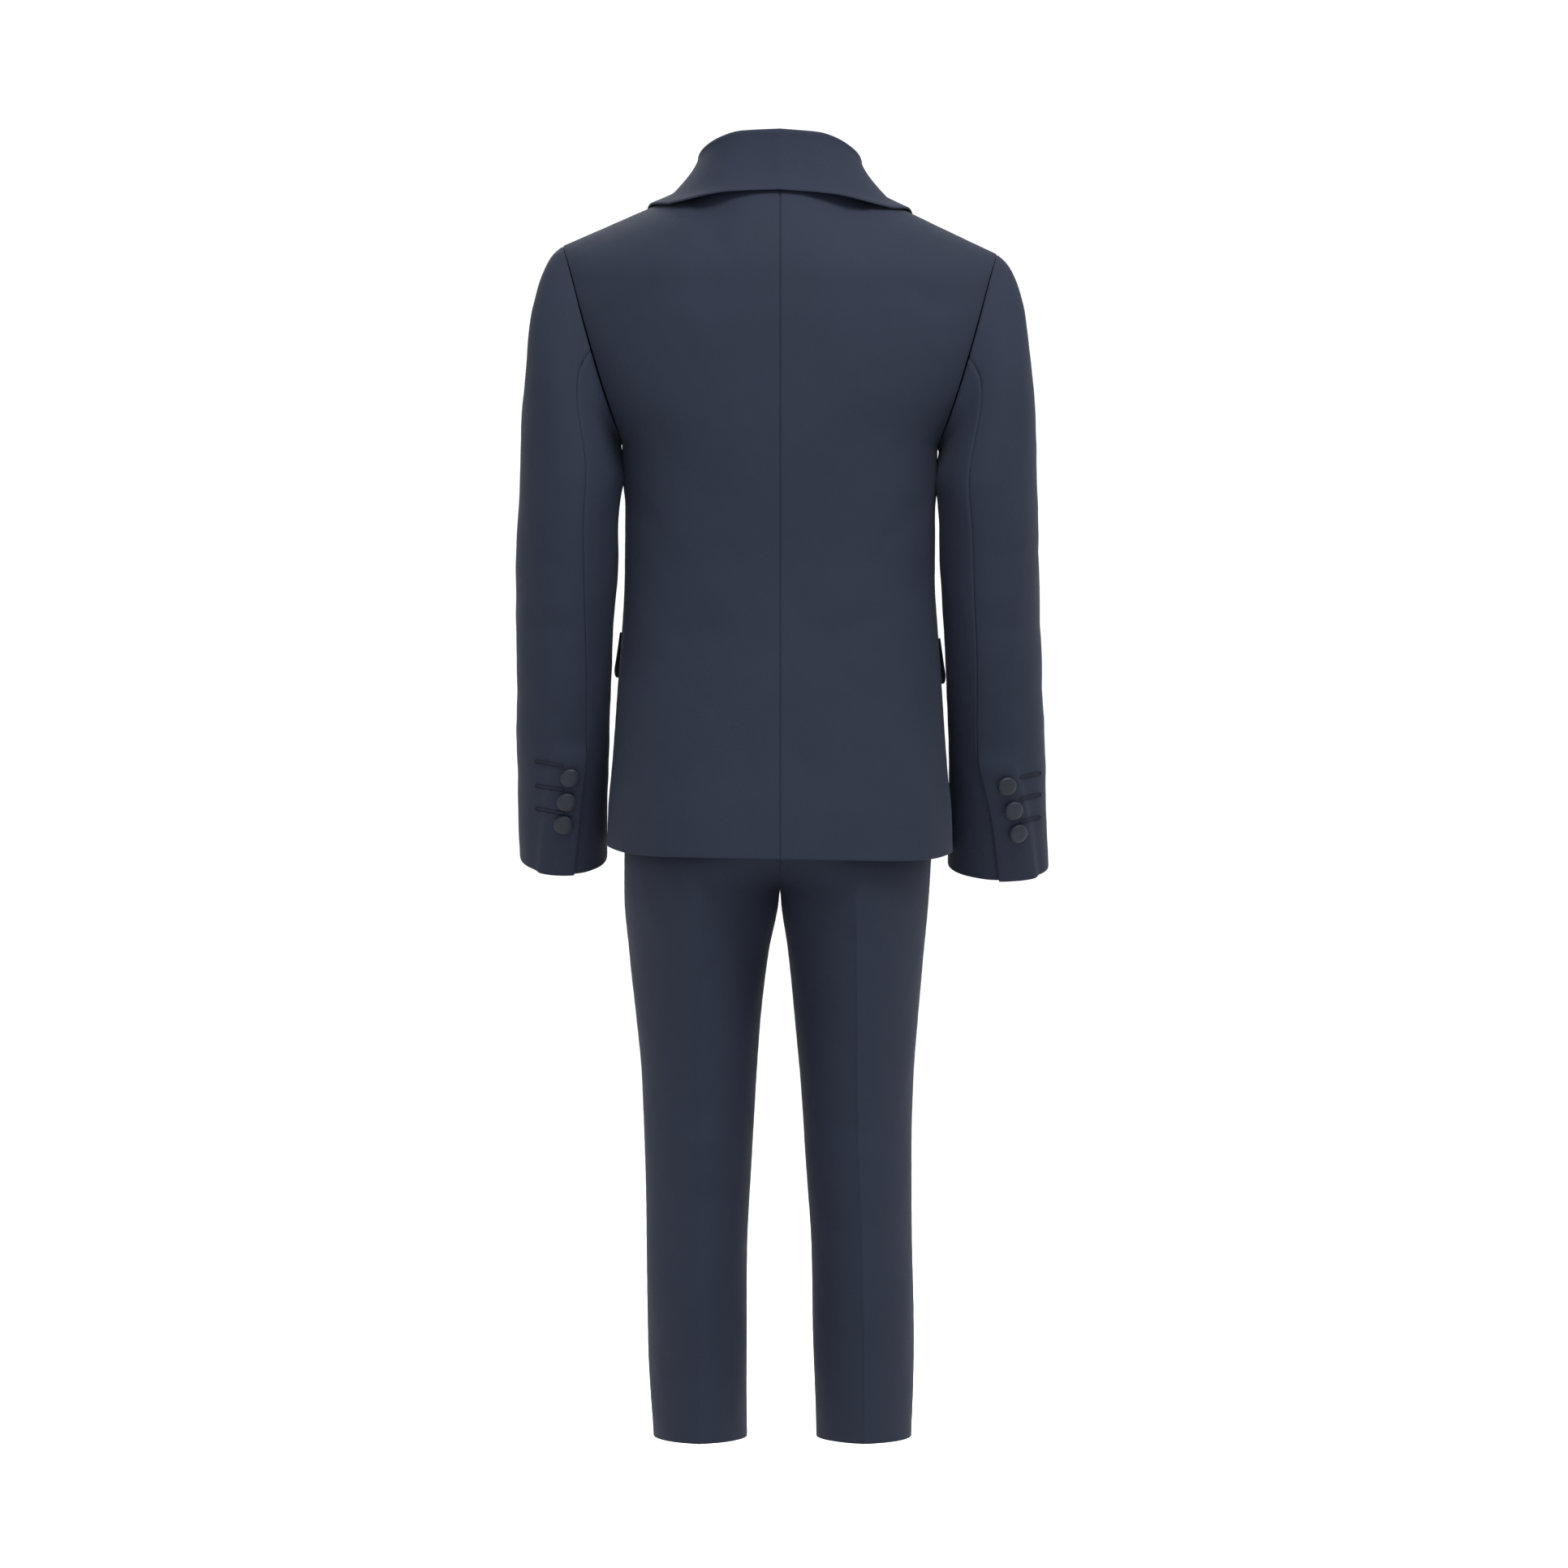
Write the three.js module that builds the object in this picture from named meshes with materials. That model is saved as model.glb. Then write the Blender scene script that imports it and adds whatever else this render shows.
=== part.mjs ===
// A child's two-piece tuxedo, filled out as if worn: a one-button jacket over trousers with pressed creases.
// Millimetres, +Z up. The front faces -Y and the wearer's left is +X.
// The origin is on the jacket's centre line, level with the side neck points, where the wearer carries it.
import * as THREE from 'three';

// Cloth
const JACKET_WALL = 2.0;
const TROUSER_WALL = 1.6;
const SEAM_GAP = 0.3;
const SLEEVE_GAP = 0.5;
const LAY_GAP = 0.4;

// Jacket
const HEM_Z = -530;
const UNDERARM_Z = -200;
const YOKE_Z = -74;
const LEAN = 0.019;
const SQUARENESS = 2.3;
const NECK = { halfWidth: 66, sideY: 6, sideZ: 2, backY: 47, backZ: 17 };
const SHOULDER = { x: 171.5, y: -2, z: -45.5 };
const GORGE_Z = -38;
const CAP_END_Z = -235;

// Trousers
const WAIST_TOP_Z = -340;
const WAIST_SEAM_Z = -372;
const SEAT_Z = -490;
const CROTCH_Z = -552;
const TROUSER_HEM_Z = -980;
const CREASE = 0.22;

// Buttons
const CUFF_BUTTON = { radius: 7.7, height: 4.2 };
const FRONT_BUTTON = { radius: 9.5, height: 5 };
const WAIST_BUTTON = { radius: 7, height: 3.2 };

// A table's rows as objects with the named columns.
function namedRows(names, ...rows) {
  const keys = names.split(' ');
  return rows.map((row) => Object.fromEntries(keys.map((key, i) => [key, row[i]])));
}

// The jacket's trunk from hem to yoke: half width up to the underarm, and the depths at the centre lines.
const TRUNK = [
  { z: -545, halfWidth: 136.5, backY: 112, frontY: -117 },
  { z: -500, halfWidth: 135.5, backY: 108, frontY: -114 },
  { z: -460, halfWidth: 132.5, backY: 102, frontY: -111 },
  { z: -400, halfWidth: 128.5, backY: 94, frontY: -107 },
  { z: -350, halfWidth: 125, backY: 88, frontY: -104 },
  { z: -300, halfWidth: 122.2, backY: 86, frontY: -103 },
  { z: -250, halfWidth: 122.2, backY: 89, frontY: -103 },
  { z: -232, halfWidth: 123.6, backY: 90.2, frontY: -102.8 },
  { z: -200, halfWidth: 124, backY: 92, frontY: -102 },
  { z: -150, halfWidth: 124, backY: 93, frontY: -99 },
  { z: -110, halfWidth: 124, backY: 92, frontY: -94 },
  { z: -74, halfWidth: 124, backY: 88, frontY: -86 },
];

// The armhole's edge from the underarm (step 0) to the yoke (6), and the half depth of the section there.
const ARMHOLE = namedRows(
  'step z backX backY backDepth frontX frontY frontDepth',
  [0, -200, 124, 0, 92, 124, 0, 102],
  [1, -194.5, 126, 20, 91.5, 125, -19, 101],
  [2, -181, 131, 36, 92, 127, -34, 100],
  [3, -158, 139, 45, 97, 132, -42, 103],
  [4, -130, 147.5, 46, 113, 140, -42, 114],
  [5, -100, 156, 40, 148, 151, -35, 140],
  [6, -74, 163, 28, 197, 161, -24, 180],
);

// How far each front reaches past the centre line, down the front edge and up the lapel's roll line.
const FRONT_EDGE = [
  { z: -530, x: 84 },
  { z: -526, x: 66 },
  { z: -514, x: 46 },
  { z: -494, x: 27 },
  { z: -460, x: 7 },
  { z: -410, x: -9 },
  { z: -360, x: -12 },
  { z: -322, x: -12 },
  { z: -290, x: -3 },
  { z: -240, x: 14 },
  { z: -180, x: 29.5 },
  { z: -110, x: 45 },
  { z: -74, x: 52 },
];

// The sleeve's silhouette on each side, the angle of its hind seam, its girth and its forward bend.
const SLEEVE = namedRows(
  'z leftOut leftIn leftSeam rightOut rightIn rightSeam girth y',
  [-235, 205.4, 123.3, 108, 202.6, 123.3, 113, 290, 13],
  [-252, 206, 126, 109, 203, 125.6, 112.6, 287, 12],
  [-300, 208, 128, 112, 204.2, 126.2, 111, 280, 7],
  [-360, 208, 131.2, 118, 206, 130.4, 112, 268, -1],
  [-420, 208, 134.5, 122, 208.6, 132.5, 115, 252, -14],
  [-480, 208, 136.6, 114, 211.6, 133.6, 99, 238, -32],
  [-528, 206.7, 138, 106, 213, 134, 91, 230, -49],
);

// How hard the sleeve head pulls at a column's start and end, from the underarm (level 1) to the tip (3).
const CAP_PULL = namedRows(
  'level start end',
  [1, 0.35, 0.95],
  [1.6, 0.95, 0.95],
  [2.2, 0.8, 1],
  [3, 0.35, 1.2],
);

// The lapel's outer edge.
const LAPEL_EDGE = [
  { z: -322, x: -11 },
  { z: -300, x: 15 },
  { z: -260, x: 46 },
  { z: -200, x: 77 },
  { z: -140, x: 99 },
  { z: -80, x: 113 },
  { z: -56, x: 118 },
];

// The collar from the centre back (at 0) round the neck to the gorge (at 1):
// its seam's place on the neckline, its fold and its outer edge.
const COLLAR = namedRows(
  'at seam foldX foldY foldZ edgeX edgeY edgeZ',
  [0, 0, 0, 45, 45.2, 0, 62, -2.7],
  [0.2, 0.36, 30, 40.5, 43.7, 40, 60, -5],
  [0.4, 0.7, 52, 25, 36.7, 76, 44, -11.5],
  [0.58, 1, 62, 4, 26.5, 98, 12, -16],
  [0.78, 1.28, 63, -28, 3, 104, -30, -29],
  [1, 1.6, 58.6, -62.5, -31, 91.4, -74, -68.6],
);

// The trousers: outer and inner silhouettes of each leg, and the depths at the creases.
const LEGS = namedRows(
  'z leftOut leftIn rightOut rightIn backY frontY seamY',
  [-340, 101, 0, 101, 0, 76, -78, 0],
  [-372, 103, 0, 103, 0, 78, -79, 0],
  [-430, 115, 0, 114, 0, 88, -85, 0],
  [-490, 122.5, 0, 120.5, 0, 95, -88, 0],
  [-552, 122.8, 0.5, 117.8, 0.5, 89, -83, 1],
  [-600, 118.7, 9, 113.2, 6.5, 79, -75, 2],
  [-650, 113.3, 15, 108.8, 11.5, 71, -68, 2],
  [-700, 108.8, 18.6, 105.2, 16, 66, -62, 3],
  [-760, 106.2, 22, 103.7, 20, 63, -57, 4],
  [-830, 105, 25.6, 104.3, 24.6, 62, -53, 5],
  [-900, 104.3, 26.2, 105.8, 26, 62, -50, 6],
  [-980, 99.6, 25.8, 103.6, 28.6, 63, -48, 7],
);

// The pocket flap on the front, as section angles from the centre front, and its height.
const FLAP = { rearAngle: 84, frontAngle: 33, topZ: -349, height: 36, stand: 1.6 };

const DEGREE = Math.PI / 180;
const UP = [0, 0, 1];

// Small vector help
const add = (a, b, k = 1) => [a[0] + b[0] * k, a[1] + b[1] * k, a[2] + b[2] * k];
const sub = (a, b) => add(a, b, -1);
const dot = (a, b) => a[0] * b[0] + a[1] * b[1] + a[2] * b[2];
const scale = (a, k) => [a[0] * k, a[1] * k, a[2] * k];
const cross = (a, b) => [a[1] * b[2] - a[2] * b[1], a[2] * b[0] - a[0] * b[2], a[0] * b[1] - a[1] * b[0]];
const size = (a) => Math.hypot(a[0], a[1], a[2]);
const unit = (a) => scale(a, 1 / (size(a) || 1));
const mix = (a, b, t) => a + (b - a) * t;
const mixPoint = (a, b, t) => [mix(a[0], b[0], t), mix(a[1], b[1], t), mix(a[2], b[2], t)];
const clamp = (t, low = 0, high = 1) => Math.min(high, Math.max(low, t));
const smooth = (t) => clamp(t) ** 2 * (3 - 2 * clamp(t));

// A signed power, so that sections go on past their quarter turns.
const power = (value, exponent) => Math.sign(value) * Math.abs(value) ** exponent;

// The cubic from a to b with end tangents ta and tb.
function hermite(a, ta, b, tb, t) {
  const s = t * t;
  const c = s * t;
  const ends = [scale(a, 2 * c - 3 * s + 1), scale(b, 3 * s - 2 * c)];
  const tangents = [scale(ta, c - 2 * s + t), scale(tb, c - s)];
  const parts = [...ends, ...tangents];
  return parts.reduce((sum, part) => add(sum, part), [0, 0, 0]);
}

// A smooth curve, with no overshoot, through one named column of a table.
function column(table, name, key = 'z') {
  const rows = [...table].sort((a, b) => a[key] - b[key]);
  const steps = rows.slice(1).map((row, i) => (row[name] - rows[i][name]) / (row[key] - rows[i][key]));
  const slopes = rows.map((row, i) => {
    const before = steps[Math.max(0, i - 1)];
    const after = steps[Math.min(steps.length - 1, i)];
    return before * after <= 0 ? 0 : (2 * before * after) / (before + after);
  });
  return (at) => {
    const last = rows.length - 2;
    const found = rows.findIndex((row, i) => i <= last && at < rows[i + 1][key]);
    const i = found < 0 ? last : found;
    const width = rows[i + 1][key] - rows[i][key];
    const t = clamp((at - rows[i][key]) / width, -0.5, 1.5);
    const s = t * t;
    const c = s * t;
    const ends = rows[i][name] * (2 * c - 3 * s + 1) + rows[i + 1][name] * (3 * s - 2 * c);
    return ends + width * (slopes[i] * (c - 2 * s + t) + slopes[i + 1] * (c - s));
  };
}

// Every named column of a table as one function that returns a row.
function rowsOf(table, key = 'z') {
  const names = Object.keys(table[0]).filter((name) => name !== key);
  const curves = names.map((name) => column(table, name, key));
  return (at) => Object.fromEntries(names.map((name, i) => [name, curves[i](at)]));
}

const trunkAt = rowsOf(TRUNK);
const armholeAt = rowsOf(ARMHOLE, 'step');
const frontEdgeAt = column(FRONT_EDGE, 'x');
const sleeveAt = rowsOf(SLEEVE);
const capPullAt = rowsOf(CAP_PULL, 'level');
const lapelEdgeAt = column(LAPEL_EDGE, 'x');
const collarAt = rowsOf(COLLAR, 'at');
const legAt = rowsOf(LEGS);

// The outward normal of a surface, by differences in its two parameters.
function normalOf(surface, u, v, flip = 1) {
  const e = 1e-3;
  const du = sub(surface(u + e, v), surface(u - e, v));
  const dv = sub(surface(u, v + e), surface(u, v - e));
  return scale(unit(cross(du, dv)), flip);
}

// Trunk of the jacket.
// A section is an arc of a squared ellipse, from the centre line at angle 0 to its edge.
// The face is 1 at the back and -1 at the front. Level 0 is the hem, 1 the underarm and 2 the yoke.
// From 2 to 3 the crest runs up to the shoulder and neck seams.
function sectionAt(face, level) {
  if (level <= 1) {
    const z = mix(HEM_Z, UNDERARM_Z, level);
    const row = trunkAt(z);
    const centreY = face > 0 ? row.backY : row.frontY;
    return { z, edgeX: row.halfWidth, turn: 90, centreY, depth: centreY };
  }
  const row = armholeAt((level - 1) * 6);
  const trunk = trunkAt(row.z);
  const [x, y, depth, centreY] = face > 0
    ? [row.backX, row.backY, row.backDepth, trunk.backY]
    : [row.frontX, row.frontY, row.frontDepth, trunk.frontY];
  const reach = 1 - Math.abs(centreY - y) / depth;
  const turn = Math.acos(reach ** (SQUARENESS / 2)) / DEGREE;
  return { z: row.z, edgeX: x, turn, centreY, depth: depth * face };
}

// How far the hem rises above its level, at an angle from the centre line: most of all at the side seams.
const HEM_RISE = { side: 12, centreBack: 5, centreFront: -2, reach: 120, backPower: 8, frontPower: 2 };

function hemRise(face, angle, z) {
  const near = smooth((HEM_Z - z) / HEM_RISE.reach + 1);
  const sine = Math.sin(Math.min(angle, 90) * DEGREE);
  if (face > 0) return near * mix(HEM_RISE.centreBack, HEM_RISE.side, sine ** HEM_RISE.backPower);
  return near * mix(HEM_RISE.centreFront, HEM_RISE.side, sine ** HEM_RISE.frontPower);
}

function onSection(face, level, angle) {
  const section = sectionAt(face, level);
  const p = 2 / SQUARENESS;
  const width = section.edgeX / power(Math.sin(section.turn * DEGREE), p);
  const x = width * power(Math.sin(angle * DEGREE), p);
  const y = section.centreY - section.depth * (1 - power(Math.cos(angle * DEGREE), p));
  const rise = level < 1 ? hemRise(face, Math.abs(angle), section.z) : 0;
  return [x, y, section.z + rise];
}

// The angle on a section at which it is x away from the centre line.
function angleOf(face, level, x) {
  const section = sectionAt(face, level);
  const p = 2 / SQUARENESS;
  const width = section.edgeX / power(Math.sin(section.turn * DEGREE), p);
  return Math.asin(clamp(power(x / width, 1 / p), -1, 1)) / DEGREE;
}

// Share of the back's columns that end at the neck, and not at the shoulder.
const NECK_SHARE = 0.3;

// The seam point at the top of a column: the back's neck and shoulder, or the front's shoulder.
function topOf(face, share) {
  const side = [NECK.halfWidth, NECK.sideY, NECK.sideZ];
  const tip = [SHOULDER.x, SHOULDER.y, SHOULDER.z];
  if (face < 0) return mixPoint(side, tip, share);
  if (share >= NECK_SHARE) return mixPoint(side, tip, (share - NECK_SHARE) / (1 - NECK_SHARE));
  const a = (share / NECK_SHARE) * 90 * DEGREE;
  return [
    NECK.halfWidth * Math.sin(a),
    mix(NECK.sideY, NECK.backY, Math.cos(a)),
    mix(NECK.sideZ, NECK.backZ, Math.cos(a) ** 1.5 || 0),
  ];
}

// Between these levels the sections open round the armhole, and the cloth away from it runs on smoothly.
const EASE = { from: 0.85, to: 1.3, step: 0.01, heldShare: 0.7 };

// A point on the sections. A share of 0 is the centre or front edge and 1 is the side seam or armhole.
function sectionPoint(face, innerX, share, level) {
  const start = innerX ? angleOf(face, level, innerX(sectionAt(face, level).z)) : 0;
  return onSection(face, level, mix(start, sectionAt(face, level).turn, share));
}

function easedPoint(face, innerX, share, level) {
  const point = sectionPoint(face, innerX, share, level);
  if (level <= EASE.from || level >= EASE.to) return point;
  const at = (v) => sectionPoint(face, innerX, share, v);
  const [low, lower] = [at(EASE.from), at(EASE.from - EASE.step)];
  const [high, higher] = [at(EASE.to), at(EASE.to + EASE.step)];
  const rise = high[2] - low[2];
  const lowRun = scale(sub(low, lower), rise / (low[2] - lower[2]));
  const highRun = scale(sub(higher, high), rise / (higher[2] - high[2]));
  const eased = hermite(low, lowRun, high, highRun, (point[2] - low[2]) / rise);
  return mixPoint(eased, point, smooth((share - EASE.heldShare) / (1 - EASE.heldShare)));
}

function trunkPoint(face, innerX) {
  return (share, level) => {
    const below = Math.min(level, 2);
    const base = easedPoint(face, innerX, share, below);
    if (level <= 2) return base;
    const t = level - 2;
    const top = topOf(face, clamp(share));
    const under = sectionPoint(face, innerX, share, 2 - 0.02);
    const rise = scale(sub(base, under), 1 / Math.max(0.1, base[2] - under[2]));
    const climb = top[2] - base[2];
    const roll = Math.abs(top[1] - base[1]);
    const atNeck = face > 0 ? 1 - smooth((share - NECK_SHARE * 0.55) / (NECK_SHARE * 0.6)) : 0;
    const over = mixPoint([0, -face * roll * 1.25, 0], [0, -face * roll * 0.75, climb * 0.75], atNeck);
    return hermite(base, scale(rise, climb * 1.25), top, over, t);
  };
}

const backPoint = trunkPoint(1, null);
const frontPoint = trunkPoint(-1, frontEdgeAt);

// The right front lies inside the left one where they cross, so it is set in near the centre line.
function setIn(point, z) {
  const deep = JACKET_WALL + LAY_GAP + 0.3;
  const share = smooth((46 - point[0]) / 28) * smooth((-246 - z) / 24);
  return [point[0], point[1] + deep * share, point[2]];
}

// The front's surface at x and z, by halving: what lies on the front is made from it.
function frontAt(x, z, crossed = false) {
  let low = 0;
  let high = 3;
  const shareAt = (level) => {
    if (level <= 2) {
      const start = angleOf(-1, level, frontEdgeAt(sectionAt(-1, level).z));
      return (angleOf(-1, level, x) - start) / (sectionAt(-1, level).turn - start);
    }
    return (x - NECK.halfWidth) / (SHOULDER.x - NECK.halfWidth);
  };
  for (let i = 0; i < 40; i += 1) {
    const level = (low + high) / 2;
    const share = level <= 2 ? shareAt(level) : mix(shareAt(2), clamp(shareAt(3), -0.4, 1), level - 2);
    if (frontPoint(share, level)[2] < z) low = level;
    else high = level;
  }
  const share = low <= 2 ? shareAt(low) : mix(shareAt(2), clamp(shareAt(3), -0.4, 1), low - 2);
  const point = frontPoint(share, low);
  const flat = [x, point[1], z];
  return crossed ? setIn(flat, z) : flat;
}

function frontNormal(x, z) {
  const e = 2;
  const across = sub(frontAt(x + e, z), frontAt(x - e, z));
  const along = sub(frontAt(x, z + e), frontAt(x, z - e));
  const normal = unit(cross(across, along));
  return normal[1] > 0 ? scale(normal, -1) : normal;
}

// Building of walls
const suit = new THREE.Group();

const MATERIALS = {
  cloth: new THREE.MeshStandardMaterial({ color: 0x2b303c, roughness: 0.86, metalness: 0 }),
  satin: new THREE.MeshStandardMaterial({ color: 0x1c2029, roughness: 0.34, metalness: 0 }),
};

function addMesh(name, positions, index, material) {
  const geometry = new THREE.BufferGeometry();
  let volume = 0;
  for (let i = 0; i < index.length; i += 3) {
    const [a, b, c] = [positions[index[i]], positions[index[i + 1]], positions[index[i + 2]]];
    volume += dot(a, cross(b, c));
  }
  const facing = volume < 0 ? index.map((_, i) => index[i - (i % 3) + [0, 2, 1][i % 3]]) : index;
  geometry.setAttribute('position', new THREE.Float32BufferAttribute(positions.flat(), 3));
  geometry.setIndex(facing);
  geometry.computeVertexNormals();
  const mesh = new THREE.Mesh(geometry, MATERIALS[material]);
  mesh.name = name;
  suit.add(mesh);
}

// A closed wall from its outer and inner points, given as rows of equal length.
function addWall(name, outer, inner, material, place = (p) => p) {
  const rows = outer.length;
  const cols = outer[0].length;
  const positions = [...outer.flat(), ...inner.flat()].map(place);
  const half = rows * cols;
  const index = [];
  const quad = (a, b, c, d) => index.push(a, b, c, a, c, d);
  for (let i = 0; i < rows - 1; i += 1) {
    for (let j = 0; j < cols - 1; j += 1) {
      const a = i * cols + j;
      quad(a, a + 1, a + cols + 1, a + cols);
      index.push(half + a, half + a + cols + 1, half + a + 1, half + a, half + a + cols, half + a + cols + 1);
    }
  }
  const rim = [];
  for (let j = 0; j < cols - 1; j += 1) rim.push(j);
  for (let i = 0; i < rows - 1; i += 1) rim.push(i * cols + cols - 1);
  for (let j = cols - 1; j > 0; j -= 1) rim.push((rows - 1) * cols + j);
  for (let i = rows - 1; i > 0; i -= 1) rim.push(i * cols);
  rim.forEach((a, k) => {
    const b = rim[(k + 1) % rim.length];
    quad(b, a, half + a, half + b);
  });
  addMesh(name, positions, index, material);
}

const count = (n) => Array.from({ length: n }, (_, i) => i);
const mirror = (side) => (p) => [p[0] * side, p[1], p[2]];
const lean = (p) => [p[0], p[1], p[2] + LEAN * p[0]];
const placeJacket = (side) => (p) => lean(mirror(side)(p));
const SIDES = [{ name: 'left', sign: 1 }, { name: 'right', sign: -1 }];

// Inward is told from outward as if every point of the trunk were this far above its core.
const CREST_WEIGHT = 60;

// Rows and columns of the trunk's panels
const HEM_ROWS = 13;
const HEM_CLOSENESS = 1.5;
const ARMHOLE_ROWS = 9;
const CREST_ROWS = 4;
const BACK_NECK_COLUMNS = 4;
const BACK_COLUMNS = 10;
const FRONT_COLUMNS = 8;
const backShares = count(BACK_COLUMNS + 1).map((j) => (j < BACK_NECK_COLUMNS
  ? (NECK_SHARE * j) / BACK_NECK_COLUMNS
  : mix(NECK_SHARE, 1, (j - BACK_NECK_COLUMNS) / (BACK_COLUMNS - BACK_NECK_COLUMNS))));
const frontShares = count(FRONT_COLUMNS + 1).map((j) => j / FRONT_COLUMNS);
const trunkLevels = [
  ...count(HEM_ROWS).map((i) => (i / HEM_ROWS) ** HEM_CLOSENESS),
  ...count(ARMHOLE_ROWS).map((i) => 1 + i / ARMHOLE_ROWS),
  ...count(CREST_ROWS + 1).map((i) => 2 + i / CREST_ROWS),
];

// The way the sleeve leaves the armhole: out along the shoulder at the tip, and straight out at the underarm.
const SLEEVE_LEAVE = { low: [1, 0, -0.18], middle: [0.62, 0.3, -0.6], tip: [0.94, 0, -0.34] };

function sleeveStart(face, level) {
  const { low, middle, tip } = SLEEVE_LEAVE;
  const side = unit([middle[0], middle[1] * face, middle[2]]);
  const upper = unit(mixPoint(side, unit(tip), smooth((level - 1.6) / 1.4)));
  return unit(mixPoint(unit(low), upper, smooth((level - 1) / 0.62)));
}

// Points well inside the trunk and the armhole, which tell inward from outward.
const TRUNK_CORE = [100, 0, -150];
const ARMHOLE_CORE = [148, 0, -125];
const towards = (vector, from, core) => (dot(vector, sub(core, from)) < 0 ? scale(vector, -1) : vector);

// An armhole seam point, with the mitre that both walls share there.
function armholeSeam(face, level) {
  const surface = face > 0 ? backPoint : frontPoint;
  const point = surface(1, level);
  const trunkIn = towards(normalOf(surface, 1, Math.min(level, 2.98)), point, TRUNK_CORE);
  const leave = sleeveStart(face, level);
  const e = 0.01;
  const along = unit(sub(surface(1, Math.min(3, level + e)), surface(1, Math.max(1, level - e))));
  const sleeveIn = towards(unit(cross(leave, along)), point, ARMHOLE_CORE);
  const mitre = scale(add(trunkIn, sleeveIn), 1 / (1 + clamp(dot(trunkIn, sleeveIn), -0.3, 1)));
  const atSeam = level === 1 || level === 3;
  return { point, leave, mitre: atSeam ? [mitre[0], 0, mitre[2]] : mitre };
}

function trunkPanel(face, run, crossed) {
  const surface = face > 0 ? backPoint : frontPoint;
  const seamShare = face > 0 ? NECK_SHARE - 0.01 : 0;
  const outer = [];
  const inner = [];
  trunkLevels.forEach((level) => {
    const at = level === 3 ? 3 - 0.004 : level;
    const line = run.map((share) => surface(share, at));
    const length = line.slice(1).reduce((sum, p, i) => sum + size(sub(p, line[i])), 0);
    const inset = SEAM_GAP / 2 / length;
    const outerRow = [];
    const innerRow = [];
    run.forEach((share, j) => {
      const held = mix(inset, 1 - inset, share);
      let point = surface(held, at);
      let inward = normalOf(surface, clamp(held, 0.002, 1.2), Math.min(at, 2.97));
      if (dot(inward, [point[0], point[1], CREST_WEIGHT]) > 0) inward = scale(inward, -1);
      if (level === 3 && face * inward[1] < 0 && share >= seamShare) inward = unit([inward[0], 0, inward[2]]);
      if (j === run.length - 1 && level >= 1) inward = armholeSeam(face, level).mitre;
      inward = scale(inward, JACKET_WALL);
      if (crossed) point = setIn(point, point[2]);
      outerRow.push(point);
      innerRow.push(add(point, inward));
    });
    outer.push(outerRow);
    inner.push(innerRow);
  });
  return { outer, inner };
}

SIDES.forEach(({ name, sign }) => {
  const back = trunkPanel(1, backShares, false);
  addWall(`jacket_back_${name}`, back.outer, back.inner, 'cloth', placeJacket(sign));
  const front = trunkPanel(-1, frontShares, sign < 0);
  addWall(`jacket_front_${name}`, front.outer, front.inner, 'cloth', placeJacket(sign));
});

// Sleeves. A ring's angle is 0 at the outside, 90 at the back, 180 at the body and -90 at the front.
const FRONT_SEAM = -125;
const TOP_FRONT_ROW = 3;
const TOP_BACK_ROW = 6;
const CAP_ROWS = 7;
const SLEEVE_ROWS = [-235, -262, -292, -322, -352, -382, -408, -426, -438, -450, -466, -484, -503, -528];
const VENT = { lift: 2.9, liftColumns: 4, laps: [12, 8], top: -428, liftLength: 12, lapLength: 14 };

// How far the columns beside the hind seam lie from it, above and below.
const NEAR_VENT = { above: [8, 18, 28, 34], below: [0, 3, 7] };

function ringAt(side, z) {
  const row = sleeveAt(z);
  const outer = row[`${side}Out`];
  const inner = row[`${side}In`];
  const halfWidth = (outer - inner) / 2;
  const radius = row.girth / (2 * Math.PI);
  const halfDepth = Math.sqrt(2 * radius * radius - halfWidth * halfWidth);
  const step = 8;
  const bend = (sleeveAt(z + step).y - sleeveAt(z - step).y) / (2 * step);
  const seam = row[`${side}Seam`];
  return { x: (outer + inner) / 2, y: row.y, z, halfWidth, halfDepth, bend, radius, seam };
}

function onRing(ring, angle, lift = 0) {
  const across = Math.cos(angle * DEGREE);
  const back = Math.sin(angle * DEGREE);
  const dy = (ring.halfDepth + lift) * back;
  return [ring.x + (ring.halfWidth + lift) * across, ring.y + dy, ring.z - ring.bend * dy];
}

// The columns round a sleeve, each with its armhole point. They start at the front seam and run over the tip.
function sleeveColumns() {
  const rowLevel = (row) => 1 + row / ARMHOLE_ROWS;
  const crestLevel = (row) => 2 + row / CREST_ROWS;
  const rows = (from, to) => count(Math.abs(to - from)).map((i) => from + Math.sign(to - from) * i);
  const frontRise = [
    ...rows(TOP_FRONT_ROW, ARMHOLE_ROWS).map(rowLevel),
    ...rows(0, CREST_ROWS).map(crestLevel),
  ];
  const backFall = [
    ...rows(CREST_ROWS, 0).map(crestLevel),
    ...rows(ARMHOLE_ROWS, TOP_BACK_ROW).map(rowLevel),
  ];
  const spans = [
    { face: -1, levels: frontRise, end: 3 },
    { face: 1, levels: backFall, end: rowLevel(TOP_BACK_ROW) },
    { face: 1, levels: rows(TOP_BACK_ROW, 0).map(rowLevel), end: 1 },
    { face: -1, levels: rows(0, TOP_FRONT_ROW).map(rowLevel), end: rowLevel(TOP_FRONT_ROW) },
  ];
  return spans.flatMap(({ face, levels, end }, span) => {
    const all = [...levels, end].map((level) => armholeSeam(face, level).point);
    const steps = all.slice(1).map((p, i) => size(sub(p, all[i])));
    const length = steps.reduce((a, b) => a + b, 0);
    return levels.map((level, i) => {
      const share = steps.slice(0, i).reduce((a, b) => a + b, 0) / length;
      return { face, level, span, share, fromEnd: levels.length - i, fromStart: i, steps: levels.length };
    });
  });
}

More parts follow.
